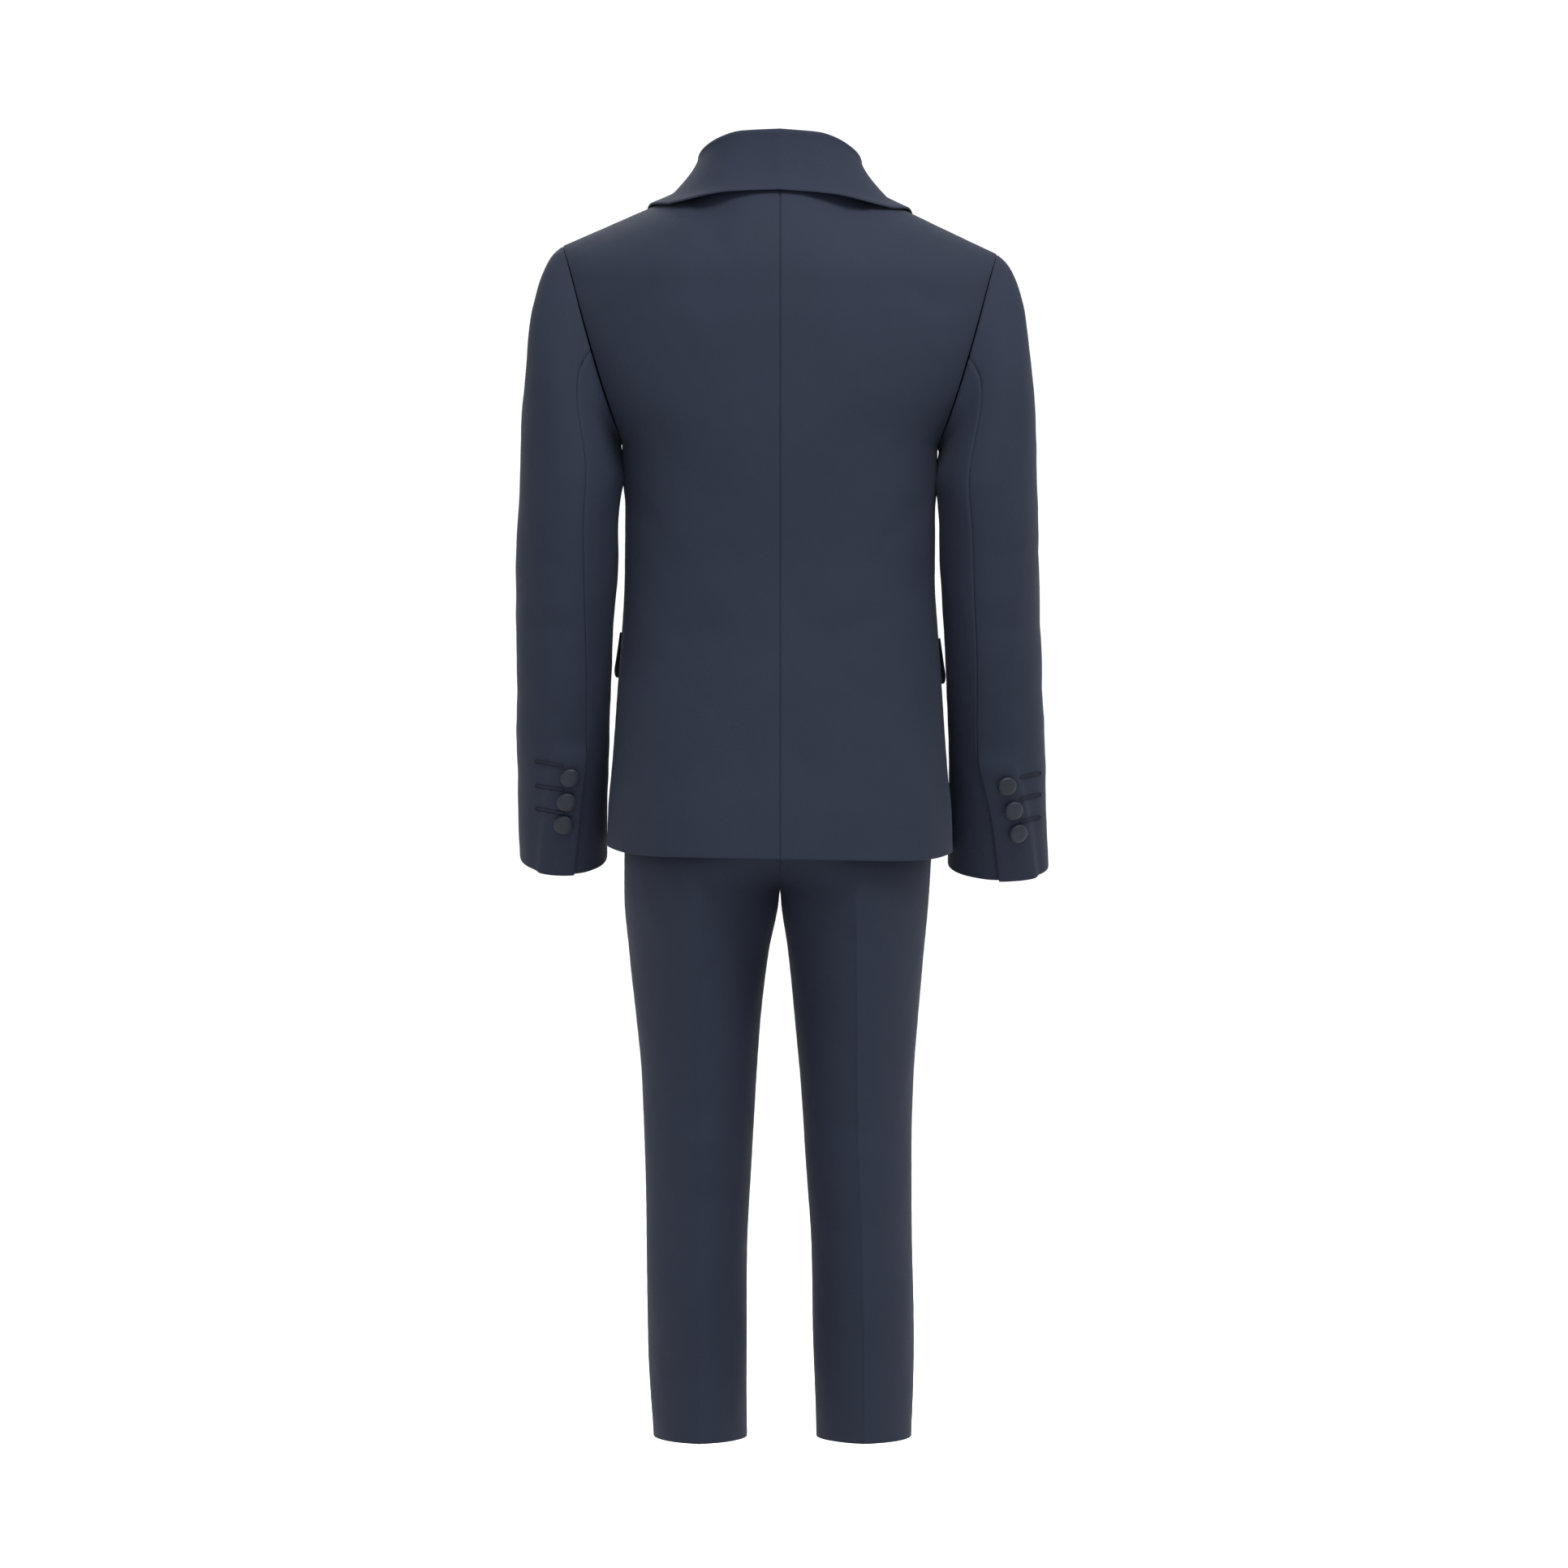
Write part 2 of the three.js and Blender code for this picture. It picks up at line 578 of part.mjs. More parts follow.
const columns = sleeveColumns();
const HIND = columns.findIndex((c) => c.span === 2);

// How far a row is into the vent: first the upper edge lifts, then the lower one laps under it.
const liftAt = (z) => smooth((VENT.top - z) / VENT.liftLength);
const lapAt = (z) => smooth((VENT.top - VENT.liftLength - z) / VENT.lapLength);

function columnAngle(c, ring) {
  const bounds = [FRONT_SEAM, 0, ring.seam, 180, 360 + FRONT_SEAM];
  const capAngle = mix(bounds[c.span], bounds[c.span + 1], c.share);
  const settled = smooth((CAP_END_Z - ring.z) / 150);
  const degrees = (length) => length / ring.radius / DEGREE;
  const near = NEAR_VENT.above[c.fromEnd - 1];
  let lowAngle = mix(bounds[c.span], bounds[c.span + 1], c.fromStart / c.steps);
  if (c.span === 1) {
    const free = c.steps - NEAR_VENT.above.length;
    const widest = ring.seam - degrees(NEAR_VENT.above.at(-1));
    lowAngle = near ? ring.seam - degrees(near) : (widest * c.fromStart) / free;
  }
  if (c.span === 2) {
    const [, first, second] = NEAR_VENT.below;
    const rest = mix(ring.seam + degrees(second), 180, (c.fromStart - 2) / (c.steps - 2));
    lowAngle = c.fromStart < 2 ? ring.seam + degrees(first * c.fromStart) : rest;
  }
  return mix(capAngle, lowAngle, settled);
}

// All rows of a sleeve as closed rings, with the way inward at each point.
function sleeveRings(side) {
  const first = ringAt(side, CAP_END_Z);
  const next = ringAt(side, CAP_END_Z - 12);
  const seams = columns.map((c) => armholeSeam(c.face, c.level));
  const cap = count(CAP_ROWS).map((row) => {
    const t = row / CAP_ROWS;
    return columns.map((c, i) => {
      const start = add(seams[i].point, seams[i].leave, SEAM_GAP);
      const angle = columnAngle(c, first);
      const end = onRing(first, angle);
      const down = unit(sub(onRing(next, angle), end));
      const chord = size(sub(end, start));
      const pull = capPullAt(c.level);
      return hermite(start, scale(seams[i].leave, chord * pull.start), end, scale(down, chord * pull.end), t);
    });
  });
  const arm = SLEEVE_ROWS.map((z) => {
    const ring = ringAt(side, z);
    return columns.map((c) => onRing(ring, columnAngle(c, ring)));
  });
  const points = [...cap, ...arm];
  const total = columns.length;
  const inward = points.map((row, i) => row.map((p, j) => {
    if (i === 0) return scale(seams[j].mitre, JACKET_WALL);
    const around = sub(row[(j + 1) % total], row[(j + total - 1) % total]);
    const down = sub(points[Math.min(points.length - 1, i + 1)][j], points[i - 1][j]);
    const centre = scale(row.reduce((sum, q) => add(sum, q), [0, 0, 0]), 1 / total);
    return scale(towards(unit(cross(around, down)), p, centre), JACKET_WALL);
  }));
  const around = (i, j) => unit(sub(points[i][(j + 1) % total], points[i][(j + total - 1) % total]));
  return { points, inward, around };
}

function sleevePanel(side, rings, from, to, isTop) {
  const total = columns.length;
  const picks = count(to - from + 1).map((k) => (from + k) % total);
  const outer = [];
  const inner = [];
  rings.points.forEach((row, i) => {
    const z = i < CAP_ROWS ? 0 : SLEEVE_ROWS[i - CAP_ROWS];
    const ring = z ? ringAt(side, z) : null;
    const outerRow = [];
    const innerRow = [];
    picks.forEach((j, k) => {
      const edge = k === 0 ? 1 : k === picks.length - 1 ? -1 : 0;
      let p = add(row[j], rings.around(i, j), (edge * SLEEVE_GAP) / 2);
      let inward = rings.inward[i][j];
      const nearVent = isTop ? picks.length - 1 - k : k;
      const lifted = ring && isTop && nearVent < VENT.liftColumns;
      if (lifted) p = add(p, unit(inward), -VENT.lift * liftAt(z));
      const reach = ring && !isTop && nearVent < VENT.laps.length ? VENT.laps[nearVent] * lapAt(z) : 0;
      if (reach > 0) {
        const angle = columnAngle(columns[j], ring) - reach / ring.radius / DEGREE;
        p = onRing(ring, angle);
        const outward = [Math.cos(angle * DEGREE), Math.sin(angle * DEGREE), 0];
        inward = scale(towards(outward, p, [ring.x, ring.y, p[2]]), JACKET_WALL);
      }
      outerRow.push(p);
      innerRow.push(add(p, inward));
    });
    outer.push(outerRow);
    inner.push(innerRow);
  });
  return { outer, inner };
}

const sleeves = {};
SIDES.forEach(({ name, sign }) => {
  const rings = sleeveRings(name);
  const top = sleevePanel(name, rings, 0, HIND, true);
  sleeves[name] = top;
  addWall(`sleeve_top_${name}`, top.outer, top.inner, 'cloth', placeJacket(sign));
  const under = sleevePanel(name, rings, HIND, columns.length, false);
  addWall(`sleeve_under_${name}`, under.outer, under.inner, 'cloth', placeJacket(sign));
});

// Trousers. A row is an arc from its inner edge to the side seam.
// Level 0 is the waist seam, 1 the seat, 2 the end of the crotch's curve and 3 the hem.
const LEG_COLUMNS = 9;
const SEAT_ROWS = 4;
const CROTCH_ROWS = 5;
const LEG_ROWS = 10;
const legLevels = [
  ...count(SEAT_ROWS).map((i) => i / SEAT_ROWS),
  ...count(CROTCH_ROWS).map((i) => 1 + i / CROTCH_ROWS),
  ...count(LEG_ROWS + 1).map((i) => 2 + i / LEG_ROWS),
];

function legPoint(side, face) {
  return (share, level) => {
    const drop = smooth(level - 1);
    const turn = Math.asin(drop) / DEGREE;
    let z = mix(WAIST_SEAM_Z, SEAT_Z, clamp(level));
    if (level > 1) z = mix(SEAT_Z, CROTCH_Z, level - 1);
    if (level > 2) z = mix(CROTCH_Z, TROUSER_HEM_Z, level - 2);
    const row = legAt(z);
    const outer = row[`${side}Out`];
    const inner = level > 2 ? row[`${side}In`] : 0;
    const halfWidth = (outer - inner) / (1 + drop);
    const angle = mix(-turn, 90, share);
    const depth = (face > 0 ? row.backY : row.frontY) - row.seamY;
    const x = outer - halfWidth * (1 - Math.sin(angle * DEGREE));
    const pressed = Math.asin(clamp((2 * (x - inner)) / (outer - inner) - 1, -1, 1));
    const crease = CREASE * smooth((-410 - z) / 150) * (Math.abs(Math.sin(pressed)) + Math.cos(pressed) - 1);
    const y = row.seamY + depth * (Math.cos(angle * DEGREE) - crease);
    const hem = smooth((z - TROUSER_HEM_Z) / -60 + 1) * face * -1.5;
    return [x, y, z + hem * Math.cos(pressed)];
  };
}

function legPanel(side, face) {
  const surface = legPoint(side, face);
  const outer = [];
  const inner = [];
  legLevels.forEach((level) => {
    const run = count(LEG_COLUMNS + 1).map((j) => j / LEG_COLUMNS);
    const line = run.map((share) => surface(share, level));
    const length = line.slice(1).reduce((sum, p, i) => sum + size(sub(p, line[i])), 0);
    const inset = SEAM_GAP / 2 / length;
    const points = run.map((share) => surface(mix(inset, 1 - inset, share), level));
    if (level < 2) points[0] = [SEAM_GAP / 2, points[0][1], points[0][2]];
    outer.push(points);
    inner.push(points.map((p, j) => {
      const share = clamp(run[j], 0.001, 0.999);
      const core = [line[0][0] * 0.5 + line[LEG_COLUMNS][0] * 0.5, 0, p[2]];
      let inward = towards(normalOf(surface, share, clamp(level, 0.001, 2.999)), p, core);
      if (j === 0 && inward[0] < 0) inward = unit([0, inward[1], inward[2]]);
      return add(p, inward, TROUSER_WALL);
    }));
  });
  return { outer, inner };
}

SIDES.forEach(({ name, sign }) => {
  [{ face: 1, label: 'back' }, { face: -1, label: 'front' }].forEach(({ face, label }) => {
    const panel = legPanel(name, face);
    addWall(`trouser_${label}_${name}`, panel.outer, panel.inner, 'cloth', mirror(sign));
  });
});

// The waistband: two halves joined at the centre back. The left one runs on over the right one at the front.
const BAND_STEPS = 16;
const BAND_OVERLAP = 26;

const BAND_END = 178.5;
const BAND_STEP_OUT = { from: 150, over: 24 };

function bandPanel(side) {
  const overlaps = side === 'left';
  const outer = [];
  const inner = [];
  [WAIST_TOP_Z, (WAIST_TOP_Z + WAIST_SEAM_Z) / 2, WAIST_SEAM_Z + SEAM_GAP].forEach((z) => {
    const row = legAt(z);
    const first = SEAM_GAP / 2 / row.leftOut / DEGREE;
    const last = overlaps ? 180 + BAND_OVERLAP / row.leftOut / DEGREE : BAND_END;
    const angles = count(BAND_STEPS + 1).map((i) => mix(first, last, i / BAND_STEPS));
    const points = angles.map((angle) => {
      const depth = angle < 90 ? row.backY : -row.frontY;
      const stepOut = smooth((angle - BAND_STEP_OUT.from) / BAND_STEP_OUT.over) * (TROUSER_WALL + LAY_GAP);
      const over = overlaps ? stepOut : 0;
      return [(row.leftOut + over) * Math.sin(angle * DEGREE), (depth + over) * Math.cos(angle * DEGREE), z];
    });
    outer.push(points);
    inner.push(points.map((p, i) => {
      const depth = angles[i] < 90 ? row.backY : -row.frontY;
      const inward = [-Math.sin(angles[i] * DEGREE) / row.leftOut, -Math.cos(angles[i] * DEGREE) / depth, 0];
      return add(p, unit(inward), TROUSER_WALL);
    }));
  });
  return { outer, inner };
}

SIDES.forEach(({ name, sign }) => {
  const band = bandPanel(name);
  addWall(`waistband_${name}`, band.outer, band.inner, 'cloth', mirror(sign));
});

// A covered button: a low dome that faces along a direction. Its profile is in shares of radius and height.
const DOME = [[0, 0], [0.86, 0], [1, 0.3], [0.94, 0.6], [0.62, 0.9], [0, 1]];
const DOME_SIDES = 20;

function addButton(name, at, facing, button, material, place) {
  const { radius, height } = button;
  const profile = DOME.map(([r, h]) => new THREE.Vector2(radius * r, height * h));
  const geometry = new THREE.LatheGeometry(profile, DOME_SIDES);
  const axis = new THREE.Vector3(0, 1, 0);
  const turn = new THREE.Quaternion().setFromUnitVectors(axis, new THREE.Vector3(...facing));
  geometry.applyQuaternion(turn);
  geometry.translate(...at);
  const spots = new Map();
  const positions = [];
  const source = geometry.getAttribute('position');
  const merged = count(source.count).map((i) => {
    const p = [source.getX(i), source.getY(i), source.getZ(i)];
    const key = p.map((v) => v.toFixed(3)).join();
    if (!spots.has(key)) {
      spots.set(key, positions.length);
      positions.push(p);
    }
    return spots.get(key);
  });
  const all = [...geometry.index.array].map((i) => merged[i]);
  const index = [];
  for (let i = 0; i < all.length; i += 3) {
    const [a, b, c] = all.slice(i, i + 3);
    if (a !== b && b !== c && a !== c) index.push(a, b, c);
  }
  addMesh(name, positions.map(place), index, material);
}

// The neckline from the centre back (0) to the side neck point (1), and on down the front edge.
const neckline = (s) => (s <= 1 ? backPoint(s * NECK_SHARE, 3) : frontPoint(0, 3 - (s - 1)));

// The roll line: the front's own inner edge, also above the yoke.
function rollAt(z) {
  if (z <= YOKE_Z) return frontEdgeAt(z);
  let low = 2;
  let high = 3;
  for (let i = 0; i < 40; i += 1) {
    const level = (low + high) / 2;
    if (frontPoint(0, level)[2] < z) low = level;
    else high = level;
  }
  return frontPoint(0, low)[0];
}

// A lapel lies on its front from the roll line outwards.
// Its top edge dips from the gorge to the notch and rises to the peak.
const LAPEL_ROWS = 20;
const LAPEL_COLUMNS = 8;
const LAPEL = { wall: 1.6, lay: 1.75, rise: 2.6, riseLength: 8, notchShare: 0.56, notchDip: 25, peakZ: -57 };

function lapelPoint(side, across, up) {
  const startZ = side === 'left' ? -317 : -303;
  const rollZ = mix(startZ, GORGE_Z, up);
  const edgeZ = mix(startZ, LAPEL.peakZ, up);
  const roll = rollAt(rollZ);
  const from = side === 'left' ? roll + 0.4 : Math.max(roll + 0.4, -roll + 1.6);
  const x = mix(from, Math.max(lapelEdgeAt(edgeZ), from + 1), across);
  const { notchShare: notch, notchDip } = LAPEL;
  const dip = across < notch ? across / notch : (1 - across) / (1 - notch);
  const z = mix(rollZ, edgeZ, across) - notchDip * dip * smooth((up - 0.5) / 0.5);
  const rise = LAPEL.rise * Math.exp(-(x - from) / LAPEL.riseLength) * smooth(up * 6);
  return { x, z, rise };
}

function lapelPanel(side) {
  const crossed = side === 'right';
  const outer = [];
  const inner = [];
  count(LAPEL_ROWS + 1).forEach((i) => {
    const outerRow = [];
    const innerRow = [];
    count(LAPEL_COLUMNS + 1).forEach((j) => {
      const { x, z, rise } = lapelPoint(side, j / LAPEL_COLUMNS, i / LAPEL_ROWS);
      const on = frontAt(x, z, crossed);
      const out = frontNormal(x, z);
      innerRow.push(add(on, out, LAPEL.lay + rise));
      outerRow.push(add(on, out, LAPEL.lay + rise + LAPEL.wall));
    });
    outer.push(outerRow);
    inner.push(innerRow);
  });
  return { outer, inner };
}

SIDES.forEach(({ name, sign }) => {
  const lapel = lapelPanel(name);
  addWall(`lapel_${name}`, lapel.outer, lapel.inner, 'satin', placeJacket(sign));
});

// The collar: a stand that rises inside the neckline, the fold, and the fall that lies over the jacket.
const COLLAR_STATIONS = 16;
const FALL_STEPS = 6;
const COLLAR_WALL = 1.8;
const COLLAR_LAY = 1.4;
const CHEST_OUT = unit([0.15, -0.85, 0.5]);

// Samples of the crest, to keep the fall above it.
const CREST_SAMPLES = 25;
const crestSamples = [backPoint, frontPoint].flatMap((surface) => (
  count(CREST_SAMPLES ** 2).map((k) => {
    const share = clamp((k % CREST_SAMPLES) / (CREST_SAMPLES - 1), 0.002, 0.998);
    const level = 1.9 + (Math.floor(k / CREST_SAMPLES) / (CREST_SAMPLES - 1)) * 1.09;
    const at = surface(share, level);
    return { at, out: scale(towards(normalOf(surface, share, level), at, TRUNK_CORE), -1) };
  })
));

function clearOfCrest(p, stand) {
  let best = null;
  let least = Infinity;
  crestSamples.forEach((sample) => {
    const far = size(sub(p, sample.at));
    if (far < least) [least, best] = [far, sample];
  });
  const height = dot(sub(p, best.at), best.out);
  return height < stand ? add(p, best.out, stand - height) : p;
}

function collarPath(at) {
  const row = collarAt(Math.abs(at));
  const chest = smooth((Math.abs(at) - 0.55) / 0.45);
  const up = unit(mixPoint(UP, CHEST_OUT, chest));
  const seam = neckline(row.seam);
  const fold = [row.foldX, row.foldY, row.foldZ];
  const edge = [row.edgeX, row.edgeY, row.edgeZ];
  const spread = sub(edge, fold);
  const out = unit(sub(spread, scale(up, dot(spread, up))));
  const inside = unit([-seam[0], -seam[1] - 4, 0]);
  const foot = add(add(seam, inside, mix(4.4, 2.6, chest)), up, -2);
  const turn = (o, u) => add(add(fold, out, o), up, -u);
  const stand = turn(-1.9, 2.8);
  const path = [foot, mixPoint(foot, stand, 0.5), stand, turn(-1.3, 0.7), fold, turn(1.3, 0.7)];
  const top = turn(1.9, 2.6);
  const drop = size(sub(edge, top));
  const landing = scale(unit(mixPoint(out, scale(up, -1), 0.4)), drop * 0.8);
  count(FALL_STEPS + 1).forEach((i) => {
    const t = i / FALL_STEPS;
    const p = hermite(top, scale(up, -drop * 0.5), edge, landing, t);
    path.push(clearOfCrest(p, COLLAR_LAY + COLLAR_WALL / 2));
  });
  return at < 0 ? path.map(mirror(-1)) : path;
}

function collarPanel() {
  const middle = count(COLLAR_STATIONS * 2 + 1).map((i) => collarPath(i / COLLAR_STATIONS - 1));
  const rows = middle.length;
  const steps = middle[0].length;
  const offset = (sign) => middle.map((row, i) => row.map((p, j) => {
    const along = sub(middle[Math.min(rows - 1, i + 1)][j], middle[Math.max(0, i - 1)][j]);
    const down = sub(row[Math.min(steps - 1, j + 1)], row[Math.max(0, j - 1)]);
    return add(p, unit(cross(along, down)), (sign * COLLAR_WALL) / 2);
  }));
  return { outer: offset(1), inner: offset(-1) };
}

const collar = collarPanel();
addWall('collar', collar.outer, collar.inner, 'cloth', lean);

// Pocket flaps, laid on the fronts from near the side seam forwards, with rounded lower corners.
const FLAP_ROWS = 4;
const FLAP_COLUMNS = 10;
const FLAP_CORNER = 9;

function flapPanel() {
  const outer = [];
  const inner = [];
  count(FLAP_ROWS + 1).forEach((i) => {
    const down = i / FLAP_ROWS;
    const outerRow = [];
    const innerRow = [];
    count(FLAP_COLUMNS + 1).forEach((j) => {
      const angle = mix(FLAP.rearAngle, FLAP.frontAngle, j / FLAP_COLUMNS);
      const length = ((FLAP.rearAngle - FLAP.frontAngle) * DEGREE) * 118;
      const fromEnd = Math.min(j, FLAP_COLUMNS - j) / FLAP_COLUMNS * length;
      const inCorner = clamp(FLAP_CORNER - fromEnd, 0, FLAP_CORNER);
      const raise = FLAP_CORNER - Math.sqrt(FLAP_CORNER ** 2 - inCorner ** 2);
      const z = FLAP.topZ - down * (FLAP.height - raise);
      const level = (z - HEM_Z) / (UNDERARM_Z - HEM_Z);
      const surface = (a, v) => onSection(-1, v, a);
      const on = surface(angle, level);
      const out = scale(towards(normalOf(surface, angle, level), on, [0, 0, z]), -1);
      const lift = LAY_GAP + 0.3 + down * (0.9 + 1.3 * smooth(1 - j / 4));
      innerRow.push(add(on, out, lift));
      outerRow.push(add(on, out, lift + FLAP.stand));
    });
    outer.push(outerRow);
    inner.push(innerRow);
  });
  return { outer, inner };
}

SIDES.forEach(({ name, sign }) => {
  const flap = flapPanel();
  addWall(`pocket_flap_${name}`, flap.outer, flap.inner, 'cloth', placeJacket(sign));
});

// The jacket's one front button, and the waistband's
const FRONT_BUTTON_Z = -336;
const frontButtonAt = frontAt(0, FRONT_BUTTON_Z);
const frontButtonOut = frontNormal(0, FRONT_BUTTON_Z);
const frontButtonSeat = add(frontButtonAt, frontButtonOut, SEAM_GAP);
addButton('front_button', frontButtonSeat, frontButtonOut, FRONT_BUTTON, 'satin', lean);

const waistZ = (WAIST_TOP_Z + WAIST_SEAM_Z) / 2;
const waistY = legAt(waistZ).frontY - TROUSER_WALL - LAY_GAP - SEAM_GAP;
addButton('waist_button', [-12, waistY + 0.2, waistZ], [0, -1, 0], WAIST_BUTTON, 'cloth', (p) => p);

// Three covered buttons beside each cuff's vent
const CUFF_BUTTON_Z = [-464.5, -483.5, -501.5];
const BUTTON_SEAT = 0.75;
const BUTTON_SHARE = { left: 0.5, right: 1 };

function cuffButtonPlace(side, z) {
  const grid = sleeves[side].outer;
  const last = grid[0].length - 1;
  const share = BUTTON_SHARE[side];
  const k = last - 1 - Math.floor(share);
  const t = share - Math.floor(share);
  const line = grid.map((row) => mixPoint(row[k], row[k - 1], t));
  const i = line.findIndex((p, n) => n > CAP_ROWS && p[2] < z);
  const at = mixPoint(line[i - 1], line[i], (line[i - 1][2] - z) / (line[i - 1][2] - line[i][2]));
  const across = sub(grid[i][k - 1], grid[i][t === 0 ? k + 1 : k]);
  const along = sub(line[i], line[i - 1]);
  const out = scale(towards(unit(cross(across, along)), at, [at[0], at[1] - 100, at[2]]), -1);
  return { at: add(at, out, BUTTON_SEAT), out };
}

SIDES.forEach(({ name, sign }) => {
  CUFF_BUTTON_Z.forEach((z, i) => {
    const { at, out } = cuffButtonPlace(name, z);
    addButton(`cuff_button_${name}_${i + 1}`, at, out, CUFF_BUTTON, 'satin', placeJacket(sign));
  });
});

export default suit;
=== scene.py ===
# A child's two-piece tuxedo, filled out as if worn, seen from behind.
# Sizes are in millimetres, in the frame of the CAD model, and turn into metres where a mesh is made.
import math
import bpy
import numpy as np
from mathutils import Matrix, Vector


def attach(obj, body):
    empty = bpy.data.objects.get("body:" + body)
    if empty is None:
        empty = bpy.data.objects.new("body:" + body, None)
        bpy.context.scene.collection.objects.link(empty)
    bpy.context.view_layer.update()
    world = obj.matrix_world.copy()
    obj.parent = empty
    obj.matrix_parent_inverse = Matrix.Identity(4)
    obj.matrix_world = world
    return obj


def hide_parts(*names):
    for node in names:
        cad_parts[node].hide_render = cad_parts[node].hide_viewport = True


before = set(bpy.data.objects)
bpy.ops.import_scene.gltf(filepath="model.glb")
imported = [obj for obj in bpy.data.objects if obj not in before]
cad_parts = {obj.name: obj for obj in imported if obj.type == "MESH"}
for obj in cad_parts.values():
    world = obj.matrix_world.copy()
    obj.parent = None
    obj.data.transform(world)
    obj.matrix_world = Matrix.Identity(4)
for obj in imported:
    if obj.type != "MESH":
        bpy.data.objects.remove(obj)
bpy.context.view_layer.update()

MM = 0.001
LEFT, RIGHT = 1, -1
BACK, FRONT = 1, -1

# Cloth
JACKET_WALL = 2.0
TROUSER_WALL = 1.6
SEAM_GAP = 0.3
LAY_GAP = 0.4

# Jacket
HEM_Z = -530
UNDERARM_Z = -200
YOKE_Z = -74
LEAN = 0.019
SQUARENESS = 2.3
NECK_HALF, NECK_SIDE_Y, NECK_SIDE_Z, NECK_BACK_Y, NECK_BACK_Z = 66, 6, 2, 47, 17
SIDE_NECK = np.array([66.0, 6.0, 2.0])
SHOULDER_TIP = np.array([171.5, -2.0, -45.5])
NECK_SHARE = 0.3
GORGE_Z = -38
CAP_END_Z = -235
TRUNK_CORE = np.array([100.0, 0.0, -150.0])
ARMHOLE_CORE = np.array([148.0, 0.0, -125.0])

# Trousers
WAIST_TOP_Z = -340
WAIST_SEAM_Z = -372
SEAT_Z = -490
CROTCH_Z = -552
TROUSER_HEM_Z = -980
CREASE = 0.22


def smooth(t):
    t = np.clip(t, 0, 1)
    return t * t * (3 - 2 * t)


def mix(a, b, t):
    return a + (b - a) * t


def unit(v):
    return v / np.maximum(np.linalg.norm(v, axis=-1, keepdims=True), 1e-12)


def power(value, exponent):
    return np.sign(value) * np.abs(value) ** exponent


def towards(vector, point, core):
    """The vector, turned round where it points away from the core."""
    side = np.sum(vector * (core - point), axis=-1, keepdims=True)
    return np.where(side < 0, -vector, vector)


def hermite(a, ta, b, tb, t):
    s = t * t
    c = s * t
    return a * (2 * c - 3 * s + 1) + ta * (c - 2 * s + t) + b * (3 * s - 2 * c) + tb * (c - s)


class Table:
    """Rows of named columns. Calling it with values of the first column gives smooth curves through the others."""

    def __init__(self, names, *rows):
        self.names = names.split()
        rows = np.array(sorted(rows), dtype=float)
        self.key = rows[:, 0]
        self.columns = dict(zip(self.names[1:], rows.T[1:]))

    def __call__(self, name, at):
        key, values = self.key, self.columns[name]
        at = np.asarray(at, dtype=float)
        widths = np.diff(key)
        steps = np.diff(values) / widths
        before = np.concatenate([steps[:1], steps])
        after = np.concatenate([steps, steps[-1:]])
        total = before + after
        slopes = np.where(before * after > 0, 2 * before * after / np.where(total == 0, 1, total), 0)
        i = np.clip(np.searchsorted(key, at, side="right") - 1, 0, len(widths) - 1)
        t = np.clip((at - key[i]) / widths[i], -0.5, 1.5)
        s = t * t
        c = s * t
        ends = values[i] * (2 * c - 3 * s + 1) + values[i + 1] * (3 * s - 2 * c)
        return ends + widths[i] * (slopes[i] * (c - 2 * s + t) + slopes[i + 1] * (c - s))


# The jacket's trunk from hem to yoke: half width up to the underarm, and the depths at the centre lines
TRUNK = Table(
    "z halfWidth backY frontY",
    (-545, 136.5, 112, -117),
    (-500, 135.5, 108, -114),
    (-460, 132.5, 102, -111),
    (-400, 128.5, 94, -107),
    (-350, 125, 88, -104),
    (-300, 122.2, 86, -103),
    (-250, 122.2, 89, -103),
    (-232, 123.6, 90.2, -102.8),
    (-200, 124, 92, -102),
    (-150, 124, 93, -99),
    (-110, 124, 92, -94),
    (-74, 124, 88, -86),
)

# The armhole's edge from the underarm to the yoke, and the half depth of the section that reaches it
ARMHOLE = Table(
    "step z backX backY backDepth frontX frontY frontDepth",
    (0, -200, 124, 0, 92, 124, 0, 102),
    (1, -194.5, 126, 20, 91.5, 125, -19, 101),
    (2, -181, 131, 36, 92, 127, -34, 100),
    (3, -158, 139, 45, 97, 132, -42, 103),
    (4, -130, 147.5, 46, 113, 140, -42, 114),
    (5, -100, 156, 40, 148, 151, -35, 140),
    (6, -74, 163, 28, 197, 161, -24, 180),
)

# How far each front reaches past the centre line, down the front edge and up the roll line
FRONT_EDGE = Table(
    "z x",
    (-530, 84),
    (-526, 66),
    (-514, 46),
    (-494, 27),
    (-460, 7),
    (-410, -9),
    (-360, -12),
    (-322, -12),
    (-290, -3),
    (-240, 14),
    (-180, 29.5),
    (-110, 45),
    (-74, 52),
)

# Each sleeve's silhouette, hind seam angle, girth and forward bend
SLEEVE = Table(
    "z leftOut leftIn leftSeam rightOut rightIn rightSeam girth y",
    (-235, 205.4, 123.3, 108, 202.6, 123.3, 113, 290, 13),
    (-252, 206, 126, 109, 203, 125.6, 112.6, 287, 12),
    (-300, 208, 128, 112, 204.2, 126.2, 111, 280, 7),
    (-360, 208, 131.2, 118, 206, 130.4, 112, 268, -1),
    (-420, 208, 134.5, 122, 208.6, 132.5, 115, 252, -14),
    (-480, 208, 136.6, 114, 211.6, 133.6, 99, 238, -32),
    (-528, 206.7, 138, 106, 213, 134, 91, 230, -49),
)

# How hard the sleeve head pulls at a column's start and end, from the underarm (level 1) to the tip (3)
CAP_PULL = Table("level start end", (1, 0.35, 0.95), (1.6, 0.95, 0.95), (2.2, 0.8, 1), (3, 0.35, 1.2))

